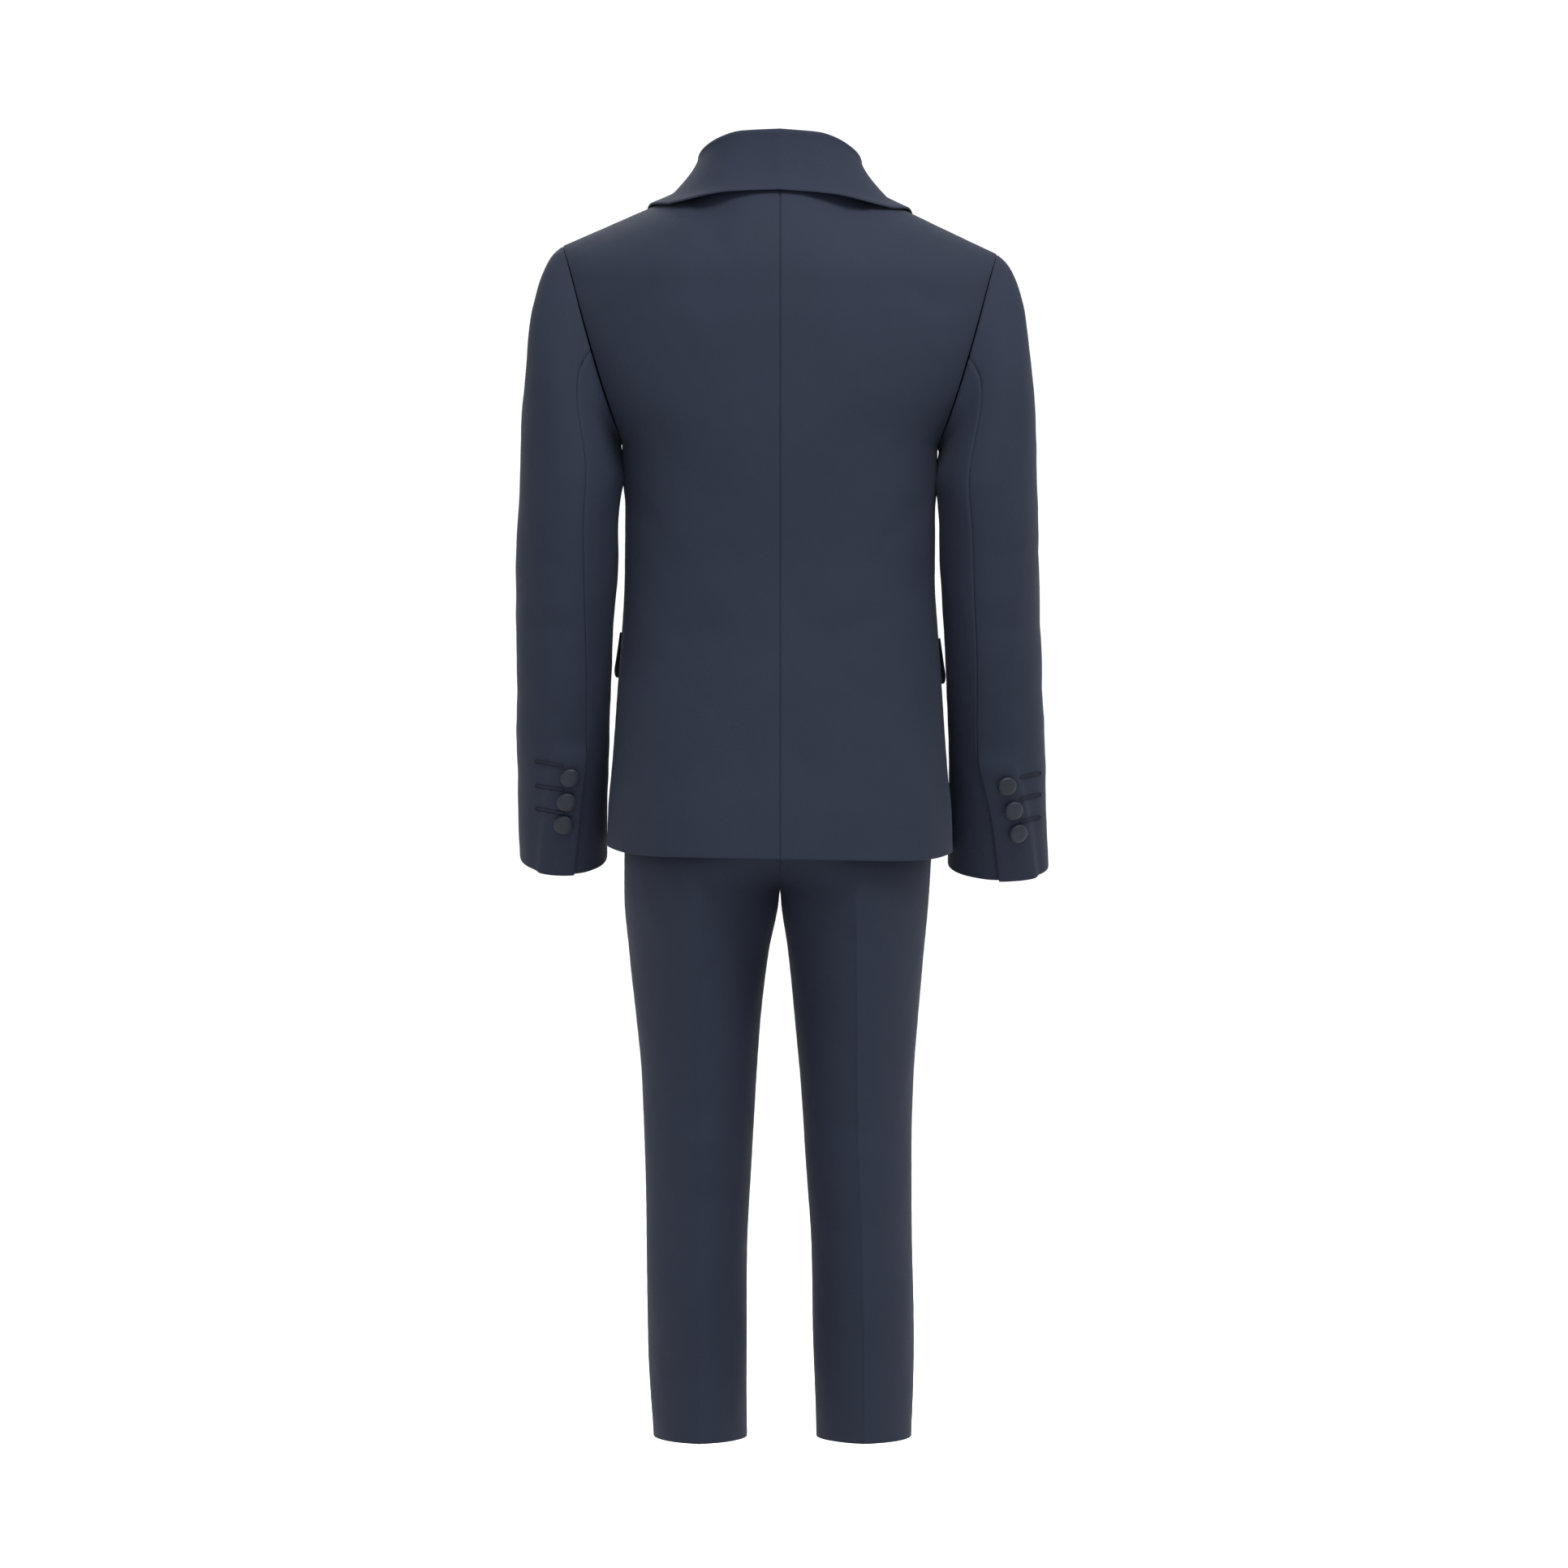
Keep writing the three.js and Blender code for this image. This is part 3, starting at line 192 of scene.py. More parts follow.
# The lapel's outer edge
LAPEL_EDGE = Table("z x", (-322, -11), (-300, 15), (-260, 46), (-200, 77), (-140, 99), (-80, 113), (-56, 118))

# The collar from the centre back (0) to the gorge (1): its seam's place on the neckline, its fold and its edge
COLLAR = Table(
    "at seam foldX foldY foldZ edgeX edgeY edgeZ",
    (0, 0, 0, 45, 45.2, 0, 62, -2.7),
    (0.2, 0.36, 30, 40.5, 43.7, 40, 60, -5),
    (0.4, 0.7, 52, 25, 36.7, 76, 44, -11.5),
    (0.58, 1, 62, 4, 26.5, 98, 12, -16),
    (0.78, 1.28, 63, -28, 3, 104, -30, -29),
    (1, 1.6, 58.6, -62.5, -31, 91.4, -74, -68.6),
)

# Each leg's outer and inner silhouettes, and the depths at the creases
LEGS = Table(
    "z leftOut leftIn rightOut rightIn backY frontY seamY",
    (-340, 101, 0, 101, 0, 76, -78, 0),
    (-372, 103, 0, 103, 0, 78, -79, 0),
    (-430, 115, 0, 114, 0, 88, -85, 0),
    (-490, 122.5, 0, 120.5, 0, 95, -88, 0),
    (-552, 122.8, 0.5, 117.8, 0.5, 89, -83, 1),
    (-600, 118.7, 9, 113.2, 6.5, 79, -75, 2),
    (-650, 113.3, 15, 108.8, 11.5, 71, -68, 2),
    (-700, 108.8, 18.6, 105.2, 16, 66, -62, 3),
    (-760, 106.2, 22, 103.7, 20, 63, -57, 4),
    (-830, 105, 25.6, 104.3, 24.6, 62, -53, 5),
    (-900, 104.3, 26.2, 105.8, 26, 62, -50, 6),
    (-980, 99.6, 25.8, 103.6, 28.6, 63, -48, 7),
)


# How far the hem rises above its level: most of all at the side seams
HEM_RISE_SIDE, HEM_RISE_BACK, HEM_RISE_FRONT, HEM_RISE_REACH = 12, 5, -2, 120

# Between these levels the sections open round the armhole, and the cloth away from it runs on smoothly
EASE_FROM, EASE_TO, EASE_STEP, EASE_HELD = 0.85, 1.3, 0.01, 0.7


# Surfaces of the jacket's trunk, as in the CAD model: level 0 is the hem, 1 the underarm, 2 the yoke, 3 the top seams
def section(face, level):
    z_low = mix(HEM_Z, UNDERARM_Z, level)
    step = (np.maximum(level, 1) - 1) * 6
    name = "back" if face == BACK else "front"
    low = level <= 1
    z = np.where(low, z_low, ARMHOLE("z", step))
    centre = TRUNK(f"{name}Y", z)
    edge_y = ARMHOLE(f"{name}Y", step)
    depth_high = ARMHOLE(f"{name}Depth", step)
    reach = np.clip(1 - np.abs(centre - edge_y) / depth_high, 0, 1)
    turn = np.where(low, math.pi / 2, np.arccos(reach ** (SQUARENESS / 2)))
    edge_x = np.where(low, TRUNK("halfWidth", z_low), ARMHOLE(f"{name}X", step))
    depth = np.where(low, centre, depth_high * face)
    return z, edge_x, turn, centre, depth


def on_section(face, level, angle):
    z, edge_x, turn, centre, depth = section(face, level)
    p = 2 / SQUARENESS
    x = edge_x / power(np.sin(turn), p) * power(np.sin(angle), p)
    y = centre - depth * (1 - power(np.cos(angle), p))
    near_hem = np.where(level < 1, smooth((HEM_Z - z) / HEM_RISE_REACH + 1), 0)
    sine = np.sin(np.minimum(np.abs(angle), math.pi / 2))
    back_rise = mix(HEM_RISE_BACK, HEM_RISE_SIDE, sine ** 8)
    front_rise = mix(HEM_RISE_FRONT, HEM_RISE_SIDE, sine ** 2)
    rise = near_hem * (back_rise if face == BACK else front_rise)
    return np.stack([x, y, z + rise], axis=-1)


def angle_of(face, level, x):
    _, edge_x, turn, _, _ = section(face, level)
    p = 2 / SQUARENESS
    width = edge_x / power(np.sin(turn), p)
    return np.arcsin(np.clip(power(x / width, 1 / p), -1, 1))


def top_of(face, share):
    share = np.clip(share, 0, 1)[..., None]
    if face == FRONT:
        return mix(SIDE_NECK, SHOULDER_TIP, share)
    along = (share - NECK_SHARE) / (1 - NECK_SHARE)
    shoulder = mix(SIDE_NECK, SHOULDER_TIP, np.clip(along, 0, 1))
    a = np.clip(share[..., 0] / NECK_SHARE, 0, 1) * math.pi / 2
    cosine = np.maximum(np.cos(a), 0)
    neck = np.stack([
        NECK_HALF * np.sin(a),
        mix(NECK_SIDE_Y, NECK_BACK_Y, cosine),
        mix(NECK_SIDE_Z, NECK_BACK_Z, cosine ** 1.5),
    ], axis=-1)
    return np.where(share >= NECK_SHARE, shoulder, neck)


def section_point(face, share, level):
    z, _, turn, _, _ = section(face, level)
    start = 0 if face == BACK else angle_of(face, level, FRONT_EDGE("x", z))
    return on_section(face, level, mix(start, turn, share))


def eased_point(face, share, level):
    point = section_point(face, share, level)

    def at(value):
        return section_point(face, share, np.full_like(level, value))

    low, lower = at(EASE_FROM), at(EASE_FROM - EASE_STEP)
    high, higher = at(EASE_TO), at(EASE_TO + EASE_STEP)
    rise = high[..., 2:] - low[..., 2:]
    low_run = (low - lower) * rise / (low[..., 2:] - lower[..., 2:])
    high_run = (higher - high) * rise / (higher[..., 2:] - high[..., 2:])
    eased = hermite(low, low_run, high, high_run, (point[..., 2:] - low[..., 2:]) / rise)
    held = smooth((share - EASE_HELD) / (1 - EASE_HELD))[..., None]
    within = ((level > EASE_FROM) & (level < EASE_TO))[..., None]
    return np.where(within, mix(eased, point, held), point)


def trunk_point(face, share, level):
    share, level = np.broadcast_arrays(np.asarray(share, float), np.asarray(level, float))
    below = np.minimum(level, 2)
    base = eased_point(face, share, below)
    under = section_point(face, share, np.full_like(level, 1.98))
    top = top_of(face, share)
    rise = (base - under) / np.maximum(0.1, base[..., 2:] - under[..., 2:])
    climb = top[..., 2:] - base[..., 2:]
    roll = np.abs(top[..., 1:2] - base[..., 1:2])
    level_over = np.concatenate([0 * roll, -face * roll * 1.25, 0 * roll], axis=-1)
    neck_over = np.concatenate([0 * roll, -face * roll * 0.75, climb * 0.75], axis=-1)
    at_neck = 1 - smooth((share - NECK_SHARE * 0.55) / (NECK_SHARE * 0.6)) if face == BACK else 0 * share
    over = mix(level_over, neck_over, at_neck[..., None])
    t = np.maximum(level - 2, 0)[..., None]
    crest = hermite(base, rise * climb * 1.25, top, over, t)
    return np.where(level[..., None] <= 2, base, crest)


def set_in(point):
    """The right front lies inside the left one where they cross."""
    deep = JACKET_WALL + LAY_GAP + 0.3
    share = smooth((46 - point[..., 0]) / 28) * smooth((-246 - point[..., 2]) / 24)
    moved = point.copy()
    moved[..., 1] += deep * share
    return moved


def front_at(x, z, crossed):
    """The front's surface at x and z, by halving."""
    x, z = np.broadcast_arrays(np.asarray(x, float), np.asarray(z, float))
    low, high = np.zeros_like(x), np.full_like(x, 3.0)

    def share_at(level):
        below = np.minimum(level, 2)
        z_row, _, turn, _, _ = section(FRONT, below)
        start = angle_of(FRONT, below, FRONT_EDGE("x", z_row))
        lower = (angle_of(FRONT, below, x) - start) / (turn - start)
        upper = np.clip((x - NECK_HALF) / (SHOULDER_TIP[0] - NECK_HALF), -0.4, 1)
        return mix(lower, upper, np.maximum(level - 2, 0))

    for _ in range(40):
        level = (low + high) / 2
        under = trunk_point(FRONT, share_at(level), level)[..., 2] < z
        low = np.where(under, level, low)
        high = np.where(under, high, level)
    point = trunk_point(FRONT, share_at(low), low)
    flat = np.stack([x, point[..., 1], z], axis=-1)
    return set_in(flat) if crossed else flat


def front_normal(x, z):
    e = 2.0
    across = front_at(x + e, z, False) - front_at(x - e, z, False)
    along = front_at(x, z + e, False) - front_at(x, z - e, False)
    normal = unit(np.cross(across, along))
    return np.where(normal[..., 1:2] > 0, -normal, normal)


def surface_normal(surface, u, v, e=1e-3):
    du = surface(u + e, v) - surface(u - e, v)
    dv = surface(u, v + e) - surface(u, v - e)
    return unit(np.cross(du, dv))


# Sleeves. A ring's angle is 0 at the outside, 90 at the back, 180 at the body and -90 at the front.
FRONT_SEAM = -125
ARMHOLE_ROWS = 9
CREST_ROWS = 4
TOP_FRONT_ROW = 3
TOP_BACK_ROW = 6
CAP_ROWS = 7
SLEEVE_ROWS = (-235, -262, -292, -322, -352, -382, -408, -426, -438, -450, -466, -484, -503, -528)
VENT_LIFT = 2.9
VENT_LAPS = (12, 8)
VENT_TOP = -428
VENT_NEAR = {1: 8, 2: 18, 3: 28, 4: 34}


SLEEVE_LOW, SLEEVE_MIDDLE, SLEEVE_TIP = np.array([1, 0, -0.18]), np.array([0.62, 0.3, -0.6]), np.array([0.94, 0, -0.34])


def sleeve_start(face, level):
    side = unit(SLEEVE_MIDDLE * [1, face, 1])
    upper = unit(mix(side, unit(SLEEVE_TIP), smooth((level - 1.6) / 1.4)))
    return unit(mix(unit(SLEEVE_LOW), upper, smooth((level - 1) / 0.62)))


class Ring:
    """One level of a sleeve: an oval that leans with the arm's bend."""

    def __init__(self, side, z):
        outer, inner = (float(SLEEVE(f"{side}{end}", z)) for end in ("Out", "In"))
        self.x = (outer + inner) / 2
        self.y = float(SLEEVE("y", z))
        self.z = z
        self.half_width = (outer - inner) / 2
        self.radius = float(SLEEVE("girth", z)) / (2 * math.pi)
        self.half_depth = math.sqrt(2 * self.radius ** 2 - self.half_width ** 2)
        step = 8
        self.bend = float(SLEEVE("y", z + step) - SLEEVE("y", z - step)) / (2 * step)
        self.seam = float(SLEEVE(f"{side}Seam", z))

    def at(self, degrees):
        a = math.radians(degrees)
        dy = self.half_depth * math.sin(a)
        return np.array([self.x + self.half_width * math.cos(a), self.y + dy, self.z - self.bend * dy])

    def degrees(self, length):
        return math.degrees(length / self.radius)


def sleeve_columns():
    """The columns round a sleeve, from the front seam over the tip, each with its place in its span."""
    front_rise = [1 + row / ARMHOLE_ROWS for row in range(TOP_FRONT_ROW, ARMHOLE_ROWS)]
    front_rise += [2 + row / CREST_ROWS for row in range(CREST_ROWS)]
    back_fall = [2 + row / CREST_ROWS for row in range(CREST_ROWS, 0, -1)]
    back_fall += [1 + row / ARMHOLE_ROWS for row in range(ARMHOLE_ROWS, TOP_BACK_ROW, -1)]
    back_low = [1 + row / ARMHOLE_ROWS for row in range(TOP_BACK_ROW, 0, -1)]
    front_low = [1 + row / ARMHOLE_ROWS for row in range(TOP_FRONT_ROW)]
    spans = (
        (FRONT, front_rise, 3),
        (BACK, back_fall, 1 + TOP_BACK_ROW / ARMHOLE_ROWS),
        (BACK, back_low, 1),
        (FRONT, front_low, 1 + TOP_FRONT_ROW / ARMHOLE_ROWS),
    )
    columns = []
    for span, (face, levels, end) in enumerate(spans):
        points = trunk_point(face, np.ones(len(levels) + 1), np.array(levels + [end]))
        along = np.concatenate([[0], np.cumsum(np.linalg.norm(np.diff(points, axis=0), axis=1))])
        for i, level in enumerate(levels):
            columns.append({
                "face": face, "level": level, "span": span, "share": along[i] / along[-1],
                "from_start": i, "from_end": len(levels) - i, "steps": len(levels), "point": points[i],
            })
    return columns


COLUMNS = sleeve_columns()
HIND = next(i for i, c in enumerate(COLUMNS) if c["span"] == 2)


def lift_at(z):
    return float(smooth((VENT_TOP - z) / 12))


def lap_at(z):
    return float(smooth((VENT_TOP - 12 - z) / 14))


def column_angle(c, ring):
    bounds = (FRONT_SEAM, 0, ring.seam, 180, 360 + FRONT_SEAM)
    start, end = bounds[c["span"]], bounds[c["span"] + 1]
    cap = mix(start, end, c["share"])
    settled = float(smooth((CAP_END_Z - ring.z) / 150))
    low = mix(start, end, c["from_start"] / c["steps"])
    if c["span"] == 1:
        near = VENT_NEAR.get(c["from_end"])
        free = c["steps"] - len(VENT_NEAR)
        spread = (ring.seam - ring.degrees(34)) * c["from_start"] / free
        low = ring.seam - ring.degrees(near) if near else spread
    if c["span"] == 2:
        first = ring.seam + ring.degrees(7)
        rest = mix(first, 180, (c["from_start"] - 2) / (c["steps"] - 2))
        low = ring.seam + ring.degrees(3 * c["from_start"]) if c["from_start"] < 2 else rest
    return mix(cap, low, settled)


def sleeve_rings(side):
    first, below = Ring(side, CAP_END_Z), Ring(side, CAP_END_Z - 12)
    rows = []
    for row in range(CAP_ROWS):
        line = []
        for c in COLUMNS:
            leave = sleeve_start(c["face"], c["level"])
            start = c["point"] + leave * SEAM_GAP
            angle = column_angle(c, first)
            end = first.at(angle)
            down = unit(below.at(angle) - end)
            chord = np.linalg.norm(end - start)
            pull, settle = (float(CAP_PULL(end_name, c["level"])) for end_name in ("start", "end"))
            line.append(hermite(start, leave * chord * pull, end, down * chord * settle, row / CAP_ROWS))
        rows.append(line)
    for z in SLEEVE_ROWS:
        ring = Ring(side, z)
        rows.append([ring.at(column_angle(c, ring)) for c in COLUMNS])
    return np.array(rows)


def sleeve_grid(side, is_top):
    """The points of a top or under sleeve, with one more column at each side to steer the curves."""
    rings = sleeve_rings(side)
    total = len(COLUMNS)
    start, end = (0, HIND) if is_top else (HIND, total)
    picks = [(start + k) % total for k in range(-1, end - start + 2)]
    around = np.roll(rings, -1, axis=1) - np.roll(rings, 1, axis=1)
    down = np.gradient(rings, axis=0)
    centre = rings.mean(axis=1, keepdims=True)
    out = -towards(unit(np.cross(around, down)), rings, centre)
    grid = rings[:, picks].copy()
    for i, z in enumerate(SLEEVE_ROWS):
        row = CAP_ROWS + i
        if is_top:
            for k in range(4):
                grid[row, -2 - k] += out[row, picks[-2 - k]] * VENT_LIFT * lift_at(z)
            continue
        ring = Ring(side, z)
        for k, lap in enumerate(VENT_LAPS):
            reach = lap * lap_at(z)
            grid[row, 1 + k] = ring.at(column_angle(COLUMNS[picks[1 + k]], ring) - ring.degrees(reach))
        grid[row, 0] = 2 * grid[row, 1] - grid[row, 2] if lap_at(z) > 0 else grid[row, 0]
    return grid


def curve_weights(count, at):
    """Weights that draw a smooth curve through count points, at places from 0 to count - 1."""
    at = np.asarray(at, float)
    i = np.clip(np.floor(at).astype(int), 0, count - 2)
    t = at - i
    w = np.stack([
        -0.5 * t + t ** 2 - 0.5 * t ** 3,
        1 - 2.5 * t ** 2 + 1.5 * t ** 3,
        0.5 * t + 2 * t ** 2 - 1.5 * t ** 3,
        -0.5 * t ** 2 + 0.5 * t ** 3,
    ], axis=-1)
    out = np.zeros((len(at), count))
    for k in range(4):
        j = i + k - 1
        rows = np.arange(len(at))
        inside = (j >= 0) & (j < count)
        np.add.at(out, (rows[inside], j[inside]), w[inside, k])
        for edge, near in ((j < 0, (0, 1)), (j >= count, (count - 1, count - 2))):
            np.add.at(out, (rows[edge], np.full(edge.sum(), near[0])), 2 * w[edge, k])
            np.add.at(out, (rows[edge], np.full(edge.sum(), near[1])), -w[edge, k])
    return out


def grid_surface(grid, spare_columns=0):
    """A surface through a grid of points: s runs across it and t along it, both from 0 to 1."""
    rows, cols = grid.shape[:2]

    def surface(s, t):
        across = curve_weights(cols, spare_columns + np.asarray(s) * (cols - 1 - 2 * spare_columns))
        along = curve_weights(rows, np.asarray(t) * (rows - 1))
        return np.einsum("mr,rck,nc->mnk", along, grid, across)

    return surface


# Collar
CHEST_OUT = unit(np.array([0.15, -0.85, 0.5]))
COLLAR_WALL = 1.8
COLLAR_LAY = 1.4
STAND_SHARE, FOLD_SHARE = 0.3, 0.42
FOLD_OUT, FOLD_UP = 1.9, 2.7
UP = np.array([0.0, 0.0, 1.0])


def neckline(s):
    if s <= 1:
        return trunk_point(BACK, s * NECK_SHARE, 3)
    return trunk_point(FRONT, 0, 3 - (s - 1))


def crest_samples():
    share, level = np.meshgrid(np.clip(np.linspace(0, 1, 41), 0.002, 0.998), 1.9 + np.linspace(0, 1, 41) * 1.09)
    points, outs = [], []
    for face in (BACK, FRONT):
        at = trunk_point(face, share, level)
        normal = surface_normal(lambda u, v, f=face: trunk_point(f, u, v), share, level)
        outs.append(-towards(normal, at, TRUNK_CORE).reshape(-1, 3))
        points.append(at.reshape(-1, 3))
    return np.concatenate(points), np.concatenate(outs)


CREST_POINTS, CREST_OUTS = crest_samples()


def clear_of_crest(points, stand):
    """The points, moved out where they are less than the stand above the jacket."""
    apart = np.linalg.norm(points[:, None] - CREST_POINTS[None], axis=-1)
    best = np.argmin(apart, axis=1)
    height = np.sum((points - CREST_POINTS[best]) * CREST_OUTS[best], axis=-1)
    return points + CREST_OUTS[best] * np.maximum(0, stand - height)[:, None]


def collar_surface(s, t):
    """The collar from its foot (t at 0) over the fold to its edge (t at 1), from the right gorge to the left."""
    t = np.asarray(t, float)
    on_stand, on_fall = t < STAND_SHARE, t > FOLD_SHARE
    rows = []
    for at in np.asarray(s, float) * 2 - 1:
        row = {name: float(COLLAR(name, abs(at))) for name in COLLAR.names[1:]}
        chest = float(smooth((abs(at) - 0.55) / 0.45))
        up = unit(mix(UP, CHEST_OUT, chest))
        seam = neckline(row["seam"])
        fold = np.array([row["foldX"], row["foldY"], row["foldZ"]])
        edge = np.array([row["edgeX"], row["edgeY"], row["edgeZ"]])
        spread = edge - fold
        out = unit(spread - up * np.dot(spread, up))
        inside = unit(np.array([-seam[0], -seam[1] - 4, 0]))
        foot = seam + inside * mix(4.4, 2.6, chest) - up * 2
        inner, top = fold - out * FOLD_OUT - up * FOLD_UP, fold + out * FOLD_OUT - up * FOLD_UP
        drop = np.linalg.norm(edge - top)
        landing = unit(mix(out, -up, 0.4)) * drop * 0.8
        stand = mix(foot, inner, np.clip(t / STAND_SHARE, 0, 1)[:, None])
        turn = np.clip((t - STAND_SHARE) / (FOLD_SHARE - STAND_SHARE), 0, 1)[:, None] * math.pi
        bend = fold - out * FOLD_OUT * np.cos(turn) - up * FOLD_UP * (1 - np.sin(turn))
        fall = hermite(top, -up * drop * 0.5, edge, landing, np.clip((t - FOLD_SHARE) / (1 - FOLD_SHARE), 0, 1)[:, None])
        fall = clear_of_crest(fall, COLLAR_LAY + COLLAR_WALL / 2)
        path = np.where(on_stand[:, None], stand, np.where(on_fall[:, None], fall, bend))
        rows.append(path * [-1, 1, 1] if at < 0 else path)
    middle = np.stack(rows, axis=1)
    centre = (len(t) * 3 // 4, len(rows) // 2)
    return middle + grid_normals(middle, np.array([0.0, 0.0, -20.0]), centre) * (COLLAR_WALL / 2)


# Lapels
LAPEL_WALL, LAPEL_LAY, LAPEL_RISE, LAPEL_RISE_LENGTH = 1.6, 1.75, 2.6, 8
NOTCH_SHARE, NOTCH_DIP, PEAK_Z = 0.56, 25, -57
LAPEL_START = {"left": -317, "right": -303}


def roll_at(z):
    z = np.asarray(z, float)
    low, high = np.full_like(z, 2.0), np.full_like(z, 3.0)
    for _ in range(40):
        level = (low + high) / 2
        under = trunk_point(FRONT, 0 * level, level)[..., 2] < z
        low, high = np.where(under, level, low), np.where(under, high, level)
    return np.where(z <= YOKE_Z, FRONT_EDGE("x", z), trunk_point(FRONT, 0 * low, low)[..., 0])


def lapel_surface(side, wall_share):
    def surface(s, t):
        across, up = np.meshgrid(np.asarray(s, float), np.asarray(t, float))
        start = LAPEL_START[side]
        roll_z, edge_z = mix(start, GORGE_Z, up), mix(start, PEAK_Z, up)
        roll = roll_at(roll_z)
        begin = roll + 0.4 if side == "left" else np.maximum(roll + 0.4, -roll + 1.6)
        x = mix(begin, np.maximum(LAPEL_EDGE("x", edge_z), begin + 1), across)
        dip = np.where(across < NOTCH_SHARE, across / NOTCH_SHARE, (1 - across) / (1 - NOTCH_SHARE))
        z = mix(roll_z, edge_z, across) - NOTCH_DIP * dip * smooth((up - 0.5) / 0.5)
        rise = LAPEL_RISE * np.exp(-(x - begin) / LAPEL_RISE_LENGTH) * smooth(up * 6)
        on = front_at(x, z, side == "right")
        return on + front_normal(x, z) * (LAPEL_LAY + rise + LAPEL_WALL * wall_share)[..., None]

    return surface


# Pocket flaps
FLAP_REAR, FLAP_FRONT, FLAP_TOP, FLAP_HEIGHT, FLAP_WALL, FLAP_CORNER = 84, 33, -349, 36, 1.6, 9
FLAP_LENGTH = math.radians(FLAP_REAR - FLAP_FRONT) * 118


def flap_surface(s, t):
    across, down = np.meshgrid(np.asarray(s, float), np.asarray(t, float))
    angle = np.radians(mix(FLAP_REAR, FLAP_FRONT, across))
    from_end = np.minimum(across, 1 - across) * FLAP_LENGTH
    in_corner = np.clip(FLAP_CORNER - from_end, 0, FLAP_CORNER)
    raise_by = FLAP_CORNER - np.sqrt(FLAP_CORNER ** 2 - in_corner ** 2)
    z = FLAP_TOP - down * (FLAP_HEIGHT - raise_by)
    level = (z - HEM_Z) / (UNDERARM_Z - HEM_Z)
    on = on_section(FRONT, level, angle)
    normal = surface_normal(lambda a, v: on_section(FRONT, v, a), angle, level)
    axis = np.stack([0 * z, 0 * z, z], axis=-1)
    lift = LAY_GAP + 0.3 + down * (0.9 + 1.3 * smooth(1 - across / 0.4))
    return on - towards(normal, on, axis) * (lift + FLAP_WALL)[..., None]


# Trousers: level 0 is the waist seam, 1 the seat, 2 the crotch, 3 the hem
def leg_point(side, face, share, level):
    drop = smooth(level - 1)
    turn = np.arcsin(drop)
    z = mix(WAIST_SEAM_Z, SEAT_Z, np.clip(level, 0, 1))
    z = np.where(level > 1, mix(SEAT_Z, CROTCH_Z, level - 1), z)
    z = np.where(level > 2, mix(CROTCH_Z, TROUSER_HEM_Z, level - 2), z)
    outer = LEGS(f"{side}Out", z)
    inner = np.where(level > 2, LEGS(f"{side}In", z), 0)
    half = (outer - inner) / (1 + drop)
    angle = mix(-turn, math.pi / 2, share)
    seam_y = LEGS("seamY", z)
    depth = LEGS("backY" if face == BACK else "frontY", z) - seam_y
    x = outer - half * (1 - np.sin(angle))
    pressed = np.arcsin(np.clip(2 * (x - inner) / (outer - inner) - 1, -1, 1))
    crease = CREASE * smooth((-410 - z) / 150) * (np.abs(np.sin(pressed)) + np.cos(pressed) - 1)
    y = seam_y + depth * (np.cos(angle) - crease)
    hem = smooth((z - TROUSER_HEM_Z) / -60 + 1) * face * -1.5
    return np.stack([x, y, z + hem * np.cos(pressed)], axis=-1)


# Waistband
BAND_OVERLAP = 26


def band_surface(side):
    lap = side == "left"

    def surface(s, t):
        across, down = np.meshgrid(np.asarray(s, float), np.asarray(t, float))
        z = mix(WAIST_TOP_Z, WAIST_SEAM_Z + SEAM_GAP, down)
        outer = LEGS("leftOut", z)
        last = 180 + np.degrees(BAND_OVERLAP / outer) if lap else 178.5 + 0 * z
        angle = np.radians(mix(np.degrees(SEAM_GAP / 2 / outer), last, across))
        depth = np.where(angle < math.pi / 2, LEGS("backY", z), -LEGS("frontY", z))
        over = smooth((np.degrees(angle) - 150) / 24) * (TROUSER_WALL + LAY_GAP) if lap else 0
        return np.stack([(outer + over) * np.sin(angle), (depth + over) * np.cos(angle), z], axis=-1)

    return surface


# Making meshes. A piece's cloth runs s across and t down, both from 0 to 1, and is measured in millimetres.
EDGE_LADDER = np.array([0, 0.25, 0.6, 1.1, 1.9, 3.2])
ROUGH_SAMPLES = 61
SEAM_INSET = 0.13
SEAM_INSET_INSIDE = -0.02
SEAM_DIP, SEAM_WIDTH = 0.65, 1.6
CREASE_LADDER = np.array([-3.6, -1.7, -0.7, 0, 0.7, 1.7, 3.6])
PRESSED_HEIGHT, PRESSED_WIDTH = 0.8, 1.5
PRESSED_FROM, PRESSED_FADE = -545, 40
PUCKER, PUCKER_WAVE, PUCKER_REACH = 0.16, 13.0, 7.0
HEM_SWELL, HEM_REACH = 0.2, 4.0


def places(length, step, crease=None):
    """Places along a length, close together at both ends and at a pressed crease."""
    reach = EDGE_LADDER[-1]
    steps = max(2, round((length - 2 * reach) / step))
    middle = np.linspace(reach, length - reach, steps + 1)[1:-1]
    if crease is not None:
        middle = np.sort(np.concatenate([middle[np.abs(middle - crease) > 5], crease + CREASE_LADDER]))
    return np.concatenate([EDGE_LADDER, middle, length - EDGE_LADDER[::-1]])


def lengths(points, axis):
    """The mean distance run along one axis of a grid of points."""
    steps = np.linalg.norm(np.diff(points, axis=axis), axis=-1)
    return np.concatenate([[0], np.cumsum(steps.mean(axis=1 - axis))])


def grid_normals(points, start, middle):
    """Normals of a grid, on the side away from the start that lies inside it."""
    across = np.gradient(points, axis=1)
    down = np.gradient(points, axis=0)
    normals = unit(np.cross(across, down))
    i, j = middle
    inward = np.dot(normals[i, j], start - points[i, j]) > 0
    return -normals if inward else normals


WAVES = np.random.default_rng(11)


